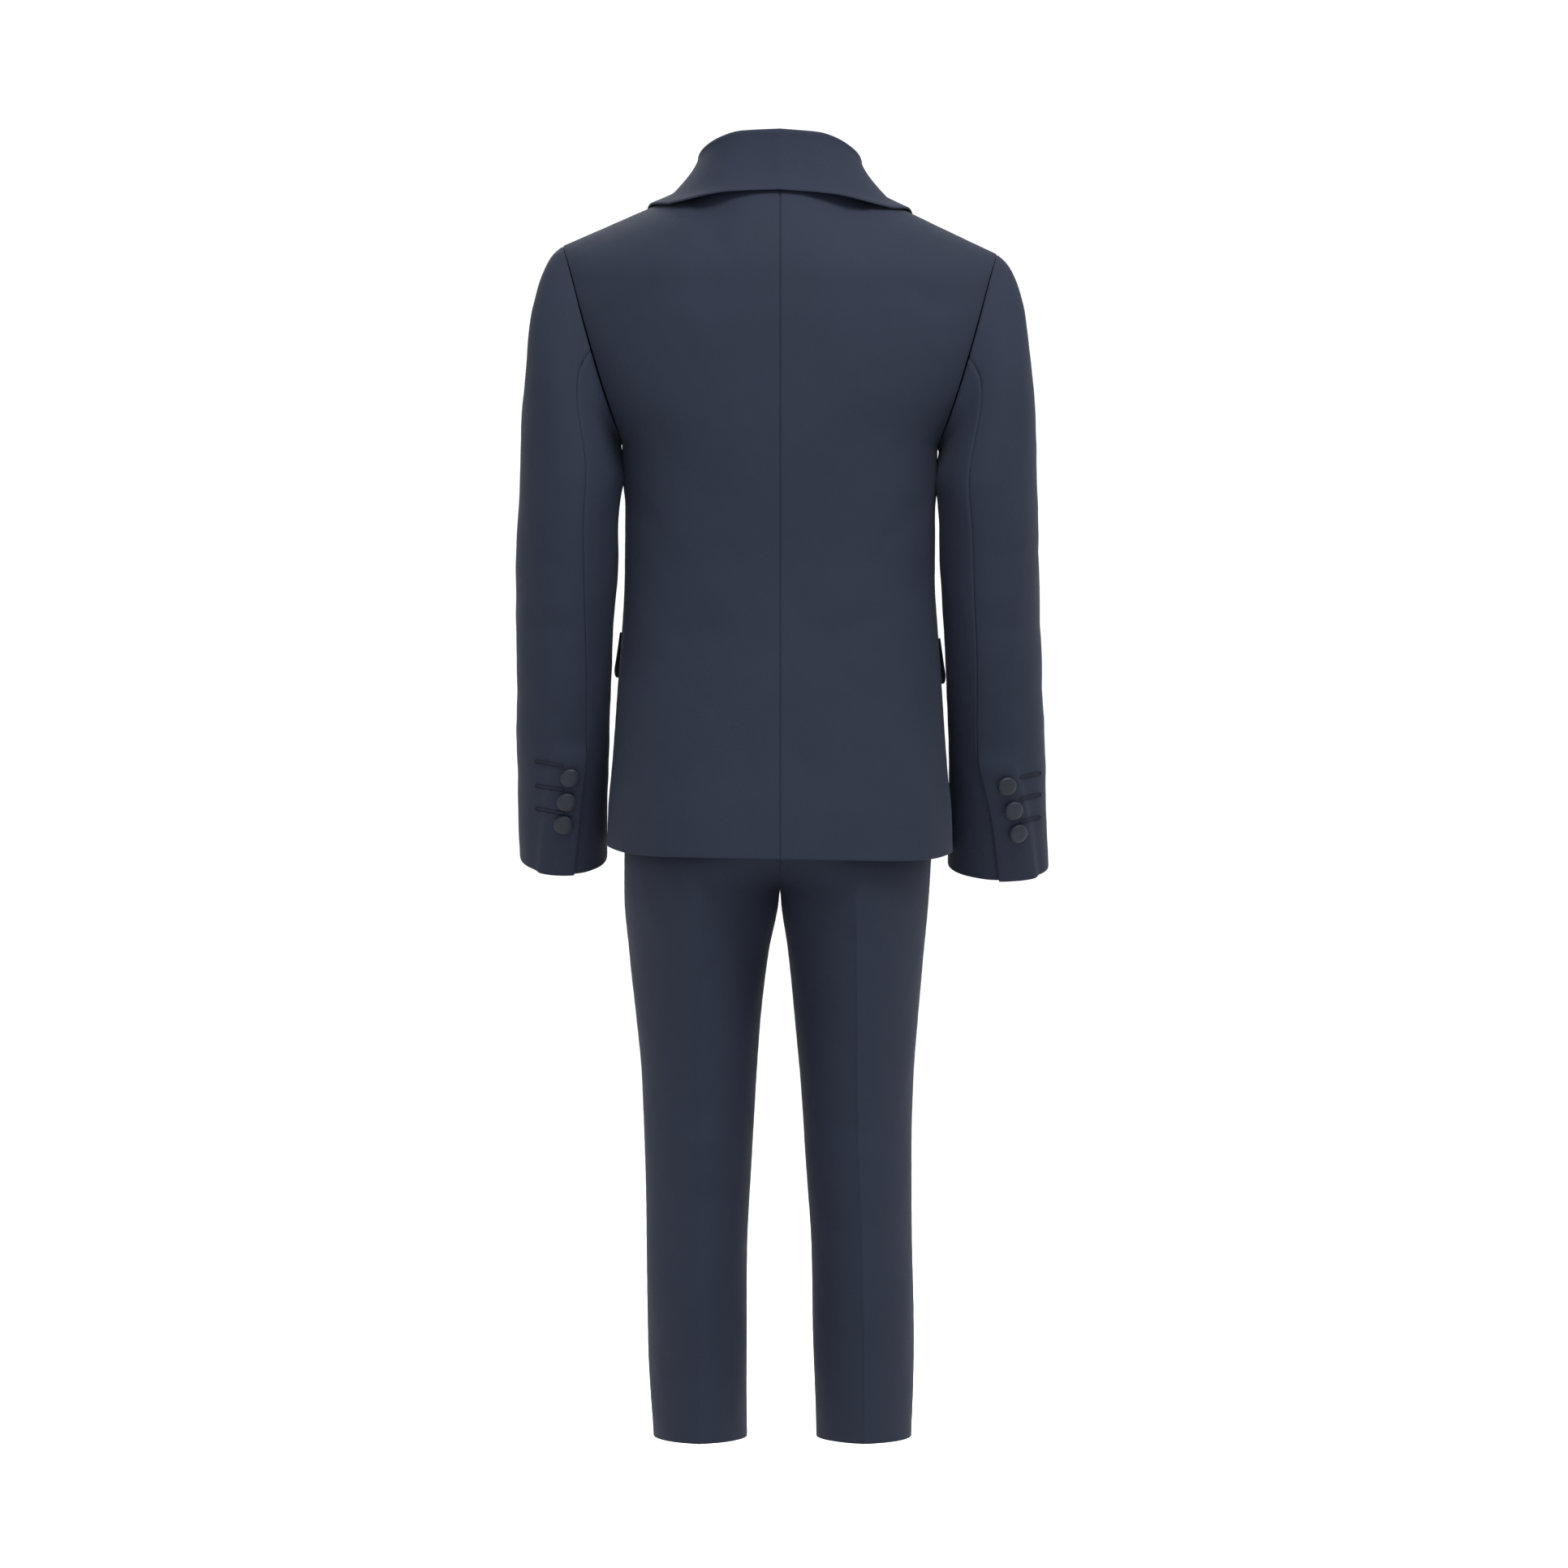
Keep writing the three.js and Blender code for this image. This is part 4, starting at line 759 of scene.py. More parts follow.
def wave_bank(count, shortest, longest):
    """Soft waves in all directions, for cloth that is never quite even."""
    lengths_ = WAVES.uniform(shortest, longest, count)
    directions = unit(WAVES.normal(size=(count, 3)))
    return directions * (2 * math.pi / lengths_)[:, None], WAVES.uniform(0, 2 * math.pi, count)


BROAD_WAVES = wave_bank(14, 60, 150)
FINE_WAVES = wave_bank(22, 16, 34)


def unevenness(points, bank):
    waves, phases = bank
    total = sum(np.sin(points @ wave + phase) for wave, phase in zip(waves, phases))
    return total / math.sqrt(len(phases))


def fold_height(points, folds):
    """Troughs and ridges of the cloth. Each follows a line in x and z and fades out at its ends."""
    x, z = points[..., 0], points[..., 2]
    total = np.zeros_like(x)
    for x0, z0, x1, z1, width, height in folds:
        along = np.array([x1 - x0, z1 - z0], float)
        length = np.linalg.norm(along)
        ax, az = along / length
        run = ((x - x0) * ax + (z - z0) * az) / length
        off = (x - x0) * az - (z - z0) * ax
        sway = width * 0.3 * np.sin(run * 4.1 + x0 * 0.3 + z0 * 0.11)
        body = np.exp(-((off - sway) / width) ** 2)
        ends = smooth(run / 0.35 + 0.15) * smooth((1 - run) / 0.35 + 0.15)
        total += height * body * ends
    return total


def away(length, at, end):
    """Distance from one end of a run of places."""
    return at if end == 0 else length - at


def add_mesh(name, points, faces, uvs=None):
    mesh = bpy.data.meshes.new(name)
    faces = np.asarray(faces, np.int32)
    mesh.vertices.add(len(points))
    mesh.vertices.foreach_set("co", (np.asarray(points, float) * MM).astype(np.float32).ravel())
    mesh.loops.add(faces.size)
    mesh.loops.foreach_set("vertex_index", faces.ravel())
    mesh.polygons.add(len(faces))
    mesh.polygons.foreach_set("loop_start", np.arange(0, faces.size, faces.shape[1], dtype=np.int32))
    mesh.polygons.foreach_set("use_smooth", np.ones(len(faces), bool))
    if uvs is not None:
        layer = mesh.uv_layers.new(name="cloth")
        layer.data.foreach_set("uv", (np.asarray(uvs, float) * MM)[faces.ravel()].astype(np.float32).ravel())
    mesh.update(calc_edges=True)
    mesh.validate()
    obj = bpy.data.objects.new(name, mesh)
    bpy.context.scene.collection.objects.link(obj)
    return obj


def grid_faces(rows, cols, first=0, flip=False):
    i, j = np.meshgrid(np.arange(rows - 1), np.arange(cols - 1), indexing="ij")
    a = first + (i * cols + j).ravel()
    quad = np.stack([a, a + 1, a + cols + 1, a + cols], axis=1)
    return quad[:, ::-1] if flip else quad


def rim_faces(rows, cols):
    """Faces that close the edge between an outer and an inner grid."""
    top = np.arange(cols)
    bottom = (rows - 1) * cols + np.arange(cols)[::-1]
    right = np.arange(rows) * cols + cols - 1
    left = (np.arange(rows) * cols)[::-1]
    ring = np.concatenate([top[:-1], right[:-1], bottom[:-1], left[:-1]])
    after = np.roll(ring, -1)
    inner = rows * cols
    return np.stack([after, ring, ring + inner, after + inner], axis=1)


def place_jacket(points, side):
    placed = points * [side, 1, 1]
    placed[..., 2] += LEAN * placed[..., 0]
    return placed


def place_trousers(points, side):
    return points * [side, 1, 1]


def lean_only(points, side):
    placed = points.copy()
    placed[..., 2] += LEAN * placed[..., 0]
    return placed


def cloth(name, surface, core, wall, step, edges, side=LEFT, place=place_jacket, folds=(), calm=1.0, pressed=None):
    """One piece of cloth: a thin closed shell on the CAD model's surface, with its folds, seams and edges.

    edges names how the left, right, upper and lower ends of the grid finish: seam, roll or plain."""
    even = np.linspace(0, 1, ROUGH_SAMPLES)
    rough = surface(even, even)
    run_s, run_t = lengths(rough, 1), lengths(rough, 0)
    step_s, step_t = step if isinstance(step, tuple) else (step, step)
    crease = None if pressed is None else float(np.interp(pressed, even, run_s))
    at_s, at_t = places(run_s[-1], step_s, crease), places(run_t[-1], step_t)
    s, t = np.interp(at_s, run_s, even), np.interp(at_t, run_t, even)
    base = surface(s, t)
    middle = (len(t) // 2, len(s) // 2)
    normals = grid_normals(base, np.asarray(core, float), middle)
    mm_s, mm_t = np.meshgrid(at_s, at_t)
    seen = place(base, side)
    lift = fold_height(seen, folds)
    lift += calm * (0.45 * unevenness(seen, BROAD_WAVES) + 0.14 * unevenness(seen, FINE_WAVES))
    if crease is not None:
        ridge = np.exp(-np.abs(mm_s - crease) / PRESSED_WIDTH)
        lift += PRESSED_HEIGHT * ridge * smooth((PRESSED_FROM - seen[..., 2]) / PRESSED_FADE)
    hold = np.ones_like(lift)
    drop = np.zeros_like(lift)
    across = unit(np.gradient(base, axis=1))
    down = unit(np.gradient(base, axis=0))
    runs = ((run_s[-1], mm_s, mm_t, across), (run_t[-1], mm_t, mm_s, down))
    half = wall / 2
    for k, kind in enumerate(edges):
        length, at, along, direction = runs[k // 2]
        far = away(length, at, k % 2)
        if kind == "seam":
            hold *= mix(0.25, 1, smooth(far / 22))
            drop += SEAM_DIP * (1 - smooth(far / SEAM_WIDTH))
            wave = np.sin(2 * math.pi * along / PUCKER_WAVE + 2.3 * np.sin(along / 31.0) + k)
            lift += PUCKER * calm * wave * np.exp(-(far / PUCKER_REACH) ** 2)
        if kind == "roll":
            lift += HEM_SWELL * np.exp(-((far - HEM_REACH * 0.6) / HEM_REACH) ** 2)
            inside = np.clip(1 - far / half, 0, 1)
            drop += half * (1 - np.sqrt(np.clip(1 - inside ** 2, 0, 1)))
    top = base + normals * (lift * hold - drop)[..., None]
    under_drop = np.zeros_like(lift)
    for k, kind in enumerate(edges):
        length, at, _, _ = runs[k // 2]
        if kind == "roll":
            inside = np.clip(1 - away(length, at, k % 2) / half, 0, 1)
            under_drop += half * (1 - np.sqrt(np.clip(1 - inside ** 2, 0, 1)))
    under_drop = np.minimum(under_drop, half)
    under = base + normals * (lift * hold - wall + under_drop)[..., None]
    inset = np.zeros(base.shape)
    for k, kind in enumerate(edges):
        length, at, _, direction = runs[k // 2]
        if kind == "seam":
            inward = direction * (-1 if k % 2 else 1)
            inset += inward * (away(length, at, k % 2) < 0.1)[..., None]
    top += inset * SEAM_INSET
    under += inset * SEAM_INSET_INSIDE
    rows, cols = len(t), len(s)
    points = np.concatenate([place(top, side).reshape(-1, 3), place(under, side).reshape(-1, 3)])
    facing = np.dot(np.cross(top[middle[0], middle[1] + 1] - top[middle], top[middle[0] + 1, middle[1]] - top[middle]),
                    normals[middle]) > 0
    flip = facing != (side == LEFT)
    shell = [grid_faces(rows, cols, 0, flip), grid_faces(rows, cols, rows * cols, not flip)]
    rim = rim_faces(rows, cols)
    shell.append(rim[:, ::-1] if flip else rim)
    uv = np.stack([mm_s, mm_t], axis=-1).reshape(-1, 2)
    obj = add_mesh(name, points, np.concatenate(shell), np.concatenate([uv, uv]))
    return obj, run_s[-1], run_t[-1], top, normals


# Materials. Weave sizes are in metres, on the cloth's own UVs.
def material(name):
    made = bpy.data.materials.new(name)
    made.use_nodes = True
    nodes, links = made.node_tree.nodes, made.node_tree.links
    return made, nodes, links, nodes["Principled BSDF"]


def noise(nodes, links, coordinates, scale, detail=2.0, roughness=0.5, distortion=0.0):
    texture = nodes.new("ShaderNodeTexNoise")
    texture.inputs["Scale"].default_value = scale
    texture.inputs["Detail"].default_value = detail
    texture.inputs["Roughness"].default_value = roughness
    texture.inputs["Distortion"].default_value = distortion
    links.new(coordinates, texture.inputs["Vector"])
    return texture.outputs["Fac"]


def ramp(nodes, links, value, low, high, dark, light):
    """A colour between two, over a range of a value."""
    band = nodes.new("ShaderNodeMapRange")
    band.inputs["From Min"].default_value = low
    band.inputs["From Max"].default_value = high
    links.new(value, band.inputs["Value"])
    blend = nodes.new("ShaderNodeMix")
    blend.data_type = "RGBA"
    blend.inputs["A"].default_value = (*dark, 1)
    blend.inputs["B"].default_value = (*light, 1)
    links.new(band.outputs["Result"], blend.inputs["Factor"])
    return blend.outputs["Result"]


def waves(nodes, links, coordinates, scale, turn):
    """Fine parallel threads at an angle across the cloth."""
    mapping = nodes.new("ShaderNodeMapping")
    mapping.inputs["Rotation"].default_value = (0, 0, math.radians(turn))
    links.new(coordinates, mapping.inputs["Vector"])
    threads = nodes.new("ShaderNodeTexWave")
    threads.inputs["Scale"].default_value = scale
    threads.inputs["Distortion"].default_value = 0.6
    threads.inputs["Detail"].default_value = 1.0
    threads.inputs["Detail Scale"].default_value = 1.5
    links.new(mapping.outputs["Vector"], threads.inputs["Vector"])
    return threads.outputs["Fac"]


def bump(nodes, links, height, strength, distance, before=None):
    node = nodes.new("ShaderNodeBump")
    node.inputs["Strength"].default_value = strength
    node.inputs["Distance"].default_value = distance
    links.new(height, node.inputs["Height"])
    if before is not None:
        links.new(before, node.inputs["Normal"])
    return node.outputs["Normal"]


TWILL_PITCH = 0.0009
WAVE_SCALE = 2 * math.pi / 20


def suiting():
    """A fine wool twill, dark navy, a little lighter along worn and raised threads."""
    made, nodes, links, shader = material("suiting")
    uv = nodes.new("ShaderNodeUVMap").outputs["UV"]
    space = nodes.new("ShaderNodeTexCoord").outputs["Object"]
    twill = waves(nodes, links, uv, WAVE_SCALE / TWILL_PITCH, 52)
    yarn = noise(nodes, links, uv, 2600, 3)
    fuzz = noise(nodes, links, space, 900, 4, 0.65)
    patches = noise(nodes, links, space, 14, 3, 0.55, 0.4)
    total = nodes.new("ShaderNodeMath")
    total.operation = "ADD"
    links.new(twill, total.inputs[0])
    links.new(yarn, total.inputs[1])
    base = ramp(nodes, links, total.outputs["Value"], 0.35, 1.55, (0.0045, 0.0062, 0.0118), (0.0102, 0.0135, 0.0242))
    tint = ramp(nodes, links, patches, 0.3, 0.7, (0.90, 0.91, 0.93), (1.08, 1.07, 1.06))
    colour = nodes.new("ShaderNodeMix")
    colour.data_type = "RGBA"
    colour.blend_type = "MULTIPLY"
    colour.inputs["Factor"].default_value = 1
    links.new(base, colour.inputs["A"])
    links.new(tint, colour.inputs["B"])
    links.new(colour.outputs["Result"], shader.inputs["Base Color"])
    rough = nodes.new("ShaderNodeMapRange")
    rough.inputs["To Min"].default_value = 0.74
    rough.inputs["To Max"].default_value = 0.9
    links.new(patches, rough.inputs["Value"])
    links.new(rough.outputs["Result"], shader.inputs["Roughness"])
    first = bump(nodes, links, twill, 0.35, 0.0002)
    second = bump(nodes, links, fuzz, 0.25, 0.0003, first)
    links.new(second, shader.inputs["Normal"])
    shader.inputs["Sheen Weight"].default_value = 0.022
    shader.inputs["Sheen Roughness"].default_value = 0.4
    shader.inputs["Sheen Tint"].default_value = (0.62, 0.70, 0.92, 1)
    shader.inputs["Specular IOR Level"].default_value = 0.11
    return made


def satin(name, dark, light, roughness, gloss):
    """Satin: smooth long floats with a soft gloss."""
    made, nodes, links, shader = material(name)
    uv = nodes.new("ShaderNodeUVMap").outputs["UV"]
    space = nodes.new("ShaderNodeTexCoord").outputs["Object"]
    floats = waves(nodes, links, uv, WAVE_SCALE / 0.0005, 8)
    slubs = noise(nodes, links, uv, 700, 2)
    patches = noise(nodes, links, space, 40, 2, 0.5, 0.3)
    links.new(ramp(nodes, links, patches, 0.25, 0.75, dark, light), shader.inputs["Base Color"])
    rough = nodes.new("ShaderNodeMapRange")
    rough.inputs["To Min"].default_value = roughness - 0.05
    rough.inputs["To Max"].default_value = roughness + 0.09
    links.new(slubs, rough.inputs["Value"])
    links.new(rough.outputs["Result"], shader.inputs["Roughness"])
    first = bump(nodes, links, floats, 0.15, 0.0001)
    second = bump(nodes, links, slubs, 0.1, 0.0002, first)
    links.new(second, shader.inputs["Normal"])
    shader.inputs["Sheen Weight"].default_value = 0.02
    shader.inputs["Specular IOR Level"].default_value = gloss
    return made


def plastic(name, dark, light):
    """A dyed button, with a faint swirl and fine scratches."""
    made, nodes, links, shader = material(name)
    space = nodes.new("ShaderNodeTexCoord").outputs["Object"]
    swirl = noise(nodes, links, space, 260, 3, 0.6, 1.5)
    scratches = noise(nodes, links, space, 1800, 2)
    links.new(ramp(nodes, links, swirl, 0.3, 0.7, dark, light), shader.inputs["Base Color"])
    rough = nodes.new("ShaderNodeMapRange")
    rough.inputs["To Min"].default_value = 0.22
    rough.inputs["To Max"].default_value = 0.42
    links.new(scratches, rough.inputs["Value"])
    links.new(rough.outputs["Result"], shader.inputs["Roughness"])
    links.new(bump(nodes, links, scratches, 0.08, 0.0002), shader.inputs["Normal"])
    return made


def plain(name, dark, light, roughness, scale):
    """Paint or thread with a little variation."""
    made, nodes, links, shader = material(name)
    space = nodes.new("ShaderNodeTexCoord").outputs["Object"]
    value = noise(nodes, links, space, scale, 3)
    links.new(ramp(nodes, links, value, 0.3, 0.7, dark, light), shader.inputs["Base Color"])
    links.new(bump(nodes, links, value, 0.1, 0.0002), shader.inputs["Normal"])
    shader.inputs["Roughness"].default_value = roughness
    shader.inputs["Specular IOR Level"].default_value = 0.15
    return made


SUITING = suiting()
SATIN = satin("satin", (0.0040, 0.0052, 0.0095), (0.0085, 0.0105, 0.0180), 0.42, 0.28)
BUTTON_SATIN = satin("satin_buttons", (0.0030, 0.0042, 0.0075), (0.0065, 0.0085, 0.0140), 0.52, 0.16)
THREAD = plain("thread", (0.0022, 0.0030, 0.0052), (0.0050, 0.0064, 0.0105), 0.85, 900)
HORN = plastic("horn", (0.010, 0.011, 0.015), (0.030, 0.031, 0.038))


def finish_piece(made, node, look):
    obj, width, length, top, _ = made
    obj.data.materials.append(look)
    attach(obj, "root")
    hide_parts(node)
    return obj


def on_grid(surface_of_both):
    """A surface of two parameters as one over a grid of them."""
    def surface(s, t):
        across, down = np.meshgrid(np.asarray(s, float), np.asarray(t, float))
        return surface_of_both(across, down)
    return surface


# Folds seen in the cloth, as x, z to x, z, with a half width and a height. The wearer's left is at +x.
BACK_FOLDS = (
    (118, -232, 58, -322, 9, -1.2),
    (102, -258, 34, -336, 12, 0.9),
    (-116, -236, -66, -308, 8, -1.0),
    (-98, -268, -40, -340, 11, 0.8),
    (98, -344, 20, -356, 12, -1.0),
    (-92, -338, -24, -350, 11, -0.8),
    (62, -396, 74, -516, 14, 1.0),
    (25, -418, 33, -522, 12, -0.8),
    (-68, -392, -80, -514, 15, 0.9),
    (-27, -430, -31, -520, 11, -0.7),
    (88, -66, 140, -110, 11, -0.9),
    (-90, -68, -138, -104, 10, -0.8),
    (38, -34, 72, -66, 10, -0.7),
    (-36, -36, -70, -62, 9, -0.6),
    (121, -184, 121, -232, 7, 0.7),
    (-121, -188, -120, -236, 7, 0.7),
)
FRONT_FOLDS = (
    (30, -352, 96, -374, 10, -1.0),
    (-30, -354, -92, -380, 9, -0.9),
    (72, -412, 90, -508, 13, 0.9),
    (-70, -410, -86, -506, 14, 0.8),
    (104, -226, 78, -290, 8, -0.9),
    (-106, -230, -80, -296, 8, -0.8),
)
SLEEVE_FOLDS = (
    (208, -284, 160, -306, 7, -1.1),
    (206, -318, 158, -330, 8, 0.8),
    (206, -336, 160, -352, 7, -1.0),
    (212, -396, 168, -412, 8, -0.9),
    (212, -420, 178, -430, 7, 0.6),
    (180, -82, 197, -158, 9, -0.7),
    (-208, -278, -160, -298, 8, -1.0),
    (-206, -310, -160, -326, 7, 0.8),
    (-210, -338, -162, -350, 8, -1.1),
    (-216, -386, -170, -404, 7, -0.8),
    (-214, -414, -180, -426, 7, 0.6),
    (-180, -86, -199, -164, 9, -0.7),
    (126, -180, 123, -236, 8, 1.1),
    (-126, -184, -122, -242, 8, 1.2),
)
LEG_FOLDS = {
    BACK: (
        (16, -552, 66, -588, 8, -1.2),
        (-16, -554, -68, -596, 8, -1.1),
        (104, -546, 76, -606, 10, 0.8),
        (22, -720, 84, -734, 10, -0.9),
        (30, -752, 90, -744, 11, 0.7),
        (34, -782, 86, -794, 10, -0.6),
        (-24, -728, -88, -738, 10, -0.8),
        (-32, -758, -92, -750, 11, 0.7),
        (28, -922, 94, -938, 11, -0.6),
        (-40, -930, -98, -918, 11, -0.5),
    ),
    FRONT: (
        (18, -560, 72, -580, 9, -1.1),
        (14, -574, 60, -612, 10, -0.8),
        (-18, -562, -74, -584, 9, -1.0),
        (-14, -578, -62, -618, 10, -0.8),
        (30, -690, 84, -706, 12, 0.6),
        (-34, -700, -86, -688, 12, 0.6),
        (26, -944, 92, -930, 10, -0.7),
        (-30, -938, -96, -950, 10, -0.6),
    ),
}

SIDES = (("left", LEFT), ("right", RIGHT))
TOP_GRIDS = {name: sleeve_grid(name, True) for name, _ in SIDES}

for name, side in SIDES:
    back = on_grid(lambda s, t: trunk_point(BACK, s, 3 * (1 - t)))
    finish_piece(
        cloth(f"cloth_jacket_back_{name}", back, (50, 0, -250), JACKET_WALL, 4.0,
              ("seam", "seam", "seam", "roll"), side, folds=BACK_FOLDS),
        f"jacket_back_{name}", SUITING,
    )

    def front_surface(s, t, crossed=side == RIGHT):
        point = trunk_point(FRONT, s, 3 * (1 - t))
        return set_in(point) if crossed else point

    finish_piece(
        cloth(f"cloth_jacket_front_{name}", on_grid(front_surface), (50, 0, -250), JACKET_WALL, 4.0,
              ("roll", "seam", "seam", "roll"), side, folds=FRONT_FOLDS),
        f"jacket_front_{name}", SUITING,
    )
    top_sleeve = grid_surface(TOP_GRIDS[name], 1)
    finish_piece(
        cloth(f"cloth_sleeve_top_{name}", top_sleeve, (165, 0, -300), JACKET_WALL, 4.0,
              ("seam", "seam", "seam", "roll"), side, folds=SLEEVE_FOLDS),
        f"sleeve_top_{name}", SUITING,
    )
    under_sleeve = grid_surface(sleeve_grid(name, False), 1)
    finish_piece(
        cloth(f"cloth_sleeve_under_{name}", under_sleeve, (165, 0, -350), JACKET_WALL, 4.0,
              ("seam", "seam", "seam", "roll"), side, folds=SLEEVE_FOLDS),
        f"sleeve_under_{name}", SUITING,
    )
    finish_piece(
        cloth(f"cloth_lapel_{name}", lapel_surface(name, 1), (60, 0, -200), LAPEL_WALL, 3.5,
              ("plain", "roll", "plain", "roll"), side, calm=0.3),
        f"lapel_{name}", SATIN,
    )
    finish_piece(
        cloth(f"cloth_pocket_flap_{name}", flap_surface, (60, 0, -370), FLAP_WALL, 2.5,
              ("roll", "roll", "plain", "roll"), side, calm=0.3),
        f"pocket_flap_{name}", SUITING,
    )
    for face, label in ((BACK, "back"), (FRONT, "front")):
        leg = on_grid(lambda s, t, f=face, n=name: leg_point(n, f, s, 3 * t))
        finish_piece(
            cloth(f"cloth_trouser_{label}_{name}", leg, (60, 0, -650), TROUSER_WALL, 4.0,
                  ("seam", "seam", "plain", "roll"), side, place_trousers, folds=LEG_FOLDS[face], pressed=0.5),
            f"trouser_{label}_{name}", SUITING,
        )
    finish_piece(
        cloth(f"cloth_waistband_{name}", band_surface(name), (0, 0, -356), TROUSER_WALL, 4.0,
              ("seam", "roll", "roll", "seam"), side, place_trousers, calm=0.3),
        f"waistband_{name}", SUITING,
    )


finish_piece(
    cloth("cloth_collar", collar_surface, (0, 0, -20), COLLAR_WALL, (3.5, 0.9),
          ("roll", "roll", "plain", "roll"), LEFT, lean_only, calm=0.4),
    "collar", SUITING,
)

# Buttons. A profile is in shares of the radius and the height.
COVERED = ((0, 0), (0.80, 0), (0.93, 0.05), (1.0, 0.24), (0.995, 0.42), (0.95, 0.60), (0.84, 0.78), (0.66, 0.91),
           (0.42, 0.98), (0.2, 1.0), (0, 1.0))
MOULDED = ((0, 0), (0.9, 0), (1.0, 0.25), (1.0, 0.62), (0.93, 0.92), (0.84, 1.0), (0.74, 0.94), (0.66, 0.72), (0.3, 0.68), (0, 0.68))
BUTTON_SIDES = 56
PLEATS, PLEAT_DEPTH = 14, 0.012


def profile_points(profile, steps=5):
    points = np.array(profile, float)
    at = np.linspace(0, len(points) - 1, (len(points) - 1) * steps + 1)
    return np.clip(curve_weights(len(points), at) @ points, 0, None)


def frame_of(facing):
    facing = unit(np.asarray(facing, float))
    side = unit(np.cross([0.0, 0.0, 1.0], facing))
    return side, np.cross(facing, side), facing


def button(name, node, at, facing, radius, height, profile, pleats, look):
    """A button turned from its profile, with the small pleats that its cover makes at the rim."""
    rings = profile_points(profile)
    turn = np.linspace(0, 2 * math.pi, BUTTON_SIDES, endpoint=False)
    side, up, out = frame_of(facing)
    depth = pleats * np.clip(1 - np.abs(rings[:, 1] - 0.3) / 0.35, 0, 1)
    r = radius * rings[:, :1] * (1 - depth[:, None] * (0.5 + 0.5 * np.cos(turn * PLEATS)[None]))
    h = height * rings[:, 1]
    points = (at + r[..., None] * (np.cos(turn)[:, None] * side + np.sin(turn)[:, None] * up) + h[:, None, None] * out)
    rows = len(rings)
    flat = points[1:-1].reshape(-1, 3)
    ends = np.stack([points[0].mean(axis=0), points[-1].mean(axis=0)])
    i, j = np.meshgrid(np.arange(rows - 3), np.arange(BUTTON_SIDES), indexing="ij")
    a, b = (i * BUTTON_SIDES + j).ravel(), (i * BUTTON_SIDES + (j + 1) % BUTTON_SIDES).ravel()
    quads = np.stack([a, b, b + BUTTON_SIDES, a + BUTTON_SIDES], axis=1)
    foot, top = len(flat), len(flat) + 1
    k = np.arange(BUTTON_SIDES)
    last = (rows - 3) * BUTTON_SIDES
    after = (k + 1) % BUTTON_SIDES
    caps = [np.stack([after, k, np.full_like(k, foot), after], axis=1), np.stack([last + k, last + after, np.full_like(k, top)], axis=1)]
    obj = add_mixed(name, np.concatenate([flat, ends]), [quads, caps[0][:, :3], caps[1]], (at, side, up))
    obj.data.materials.append(look)
    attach(obj, "root")
    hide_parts(node)
    return obj


def add_mixed(name, points, face_groups, plane):
    """A mesh of quads and triangles, with UVs taken on a plane."""
    mesh = bpy.data.meshes.new(name)
    faces = [tuple(int(v) for v in face) for group in face_groups for face in group]
    mesh.from_pydata([tuple(p) for p in points * MM], [], faces)
    mesh.polygons.foreach_set("use_smooth", np.ones(len(faces), bool))
    centre, side, up = plane
    uv = np.stack([(points - centre) @ side, (points - centre) @ up], axis=-1) * MM
    loops = np.array([v for face in faces for v in face])
    layer = mesh.uv_layers.new(name="cloth")
    layer.data.foreach_set("uv", uv[loops].astype(np.float32).ravel())
    mesh.update()
    obj = bpy.data.objects.new(name, mesh)
    bpy.context.scene.collection.objects.link(obj)
    return obj


def upright(point, facing, side):
    placed = np.asarray(point, float) * [side, 1, 1]
    placed[2] += LEAN * placed[0]
    return placed, np.asarray(facing, float) * [side, 1, 1]


FRONT_BUTTON_Z = -336
front_out = front_normal(0, FRONT_BUTTON_Z)
front_seat, _ = upright(front_at(0, FRONT_BUTTON_Z, False) + front_out * 0.75, front_out, LEFT)
button("covered_front_button", "front_button", front_seat, front_out, 9.5, 5, COVERED, PLEAT_DEPTH, BUTTON_SATIN)
waist_z = (WAIST_TOP_Z + WAIST_SEAM_Z) / 2
waist_y = float(LEGS("frontY", waist_z)) - TROUSER_WALL - LAY_GAP - SEAM_GAP + 0.2
button("moulded_waist_button", "waist_button", np.array([-12, waist_y, waist_z]), (0, -1, 0), 7, 3.2, MOULDED, 0, HORN)

CUFF_BUTTON_Z = (-464.5, -483.5, -501.5)
BUTTON_SEAT = 0.75
BUTTON_SHARE = {"left": 0.5, "right": 1}


def cuff_button_place(name, z):
    grid = TOP_GRIDS[name][:, 1:-1]
    last = grid.shape[1] - 1
    share = BUTTON_SHARE[name]
    k = last - 1 - math.floor(share)
    t = share - math.floor(share)
    line = mix(grid[:, k], grid[:, k - 1], t)
    i = next(n for n in range(CAP_ROWS + 1, len(line)) if line[n][2] < z)
    at = mix(line[i - 1], line[i], (line[i - 1][2] - z) / (line[i - 1][2] - line[i][2]))
    across = grid[i][k - 1] - grid[i][k + 1 if t == 0 else k]
    along = line[i] - line[i - 1]
    out = -towards(unit(np.cross(across, along)), at, at * [1, 0, 1] + [0, at[1] - 100, 0])
    return at + out * BUTTON_SEAT, out


for name, side in SIDES:
    for i, z in enumerate(CUFF_BUTTON_Z):
        at, out = cuff_button_place(name, z)
        seat, facing = upright(at, out, side)
        button(f"covered_cuff_button_{name}_{i + 1}", f"cuff_button_{name}_{i + 1}", seat, facing, 7.7, 4.2, COVERED,
               PLEAT_DEPTH, BUTTON_SATIN)


# Stitches. A path is dropped onto the cloth and sewn as a row of raised threads.
bpy.context.view_layer.update()


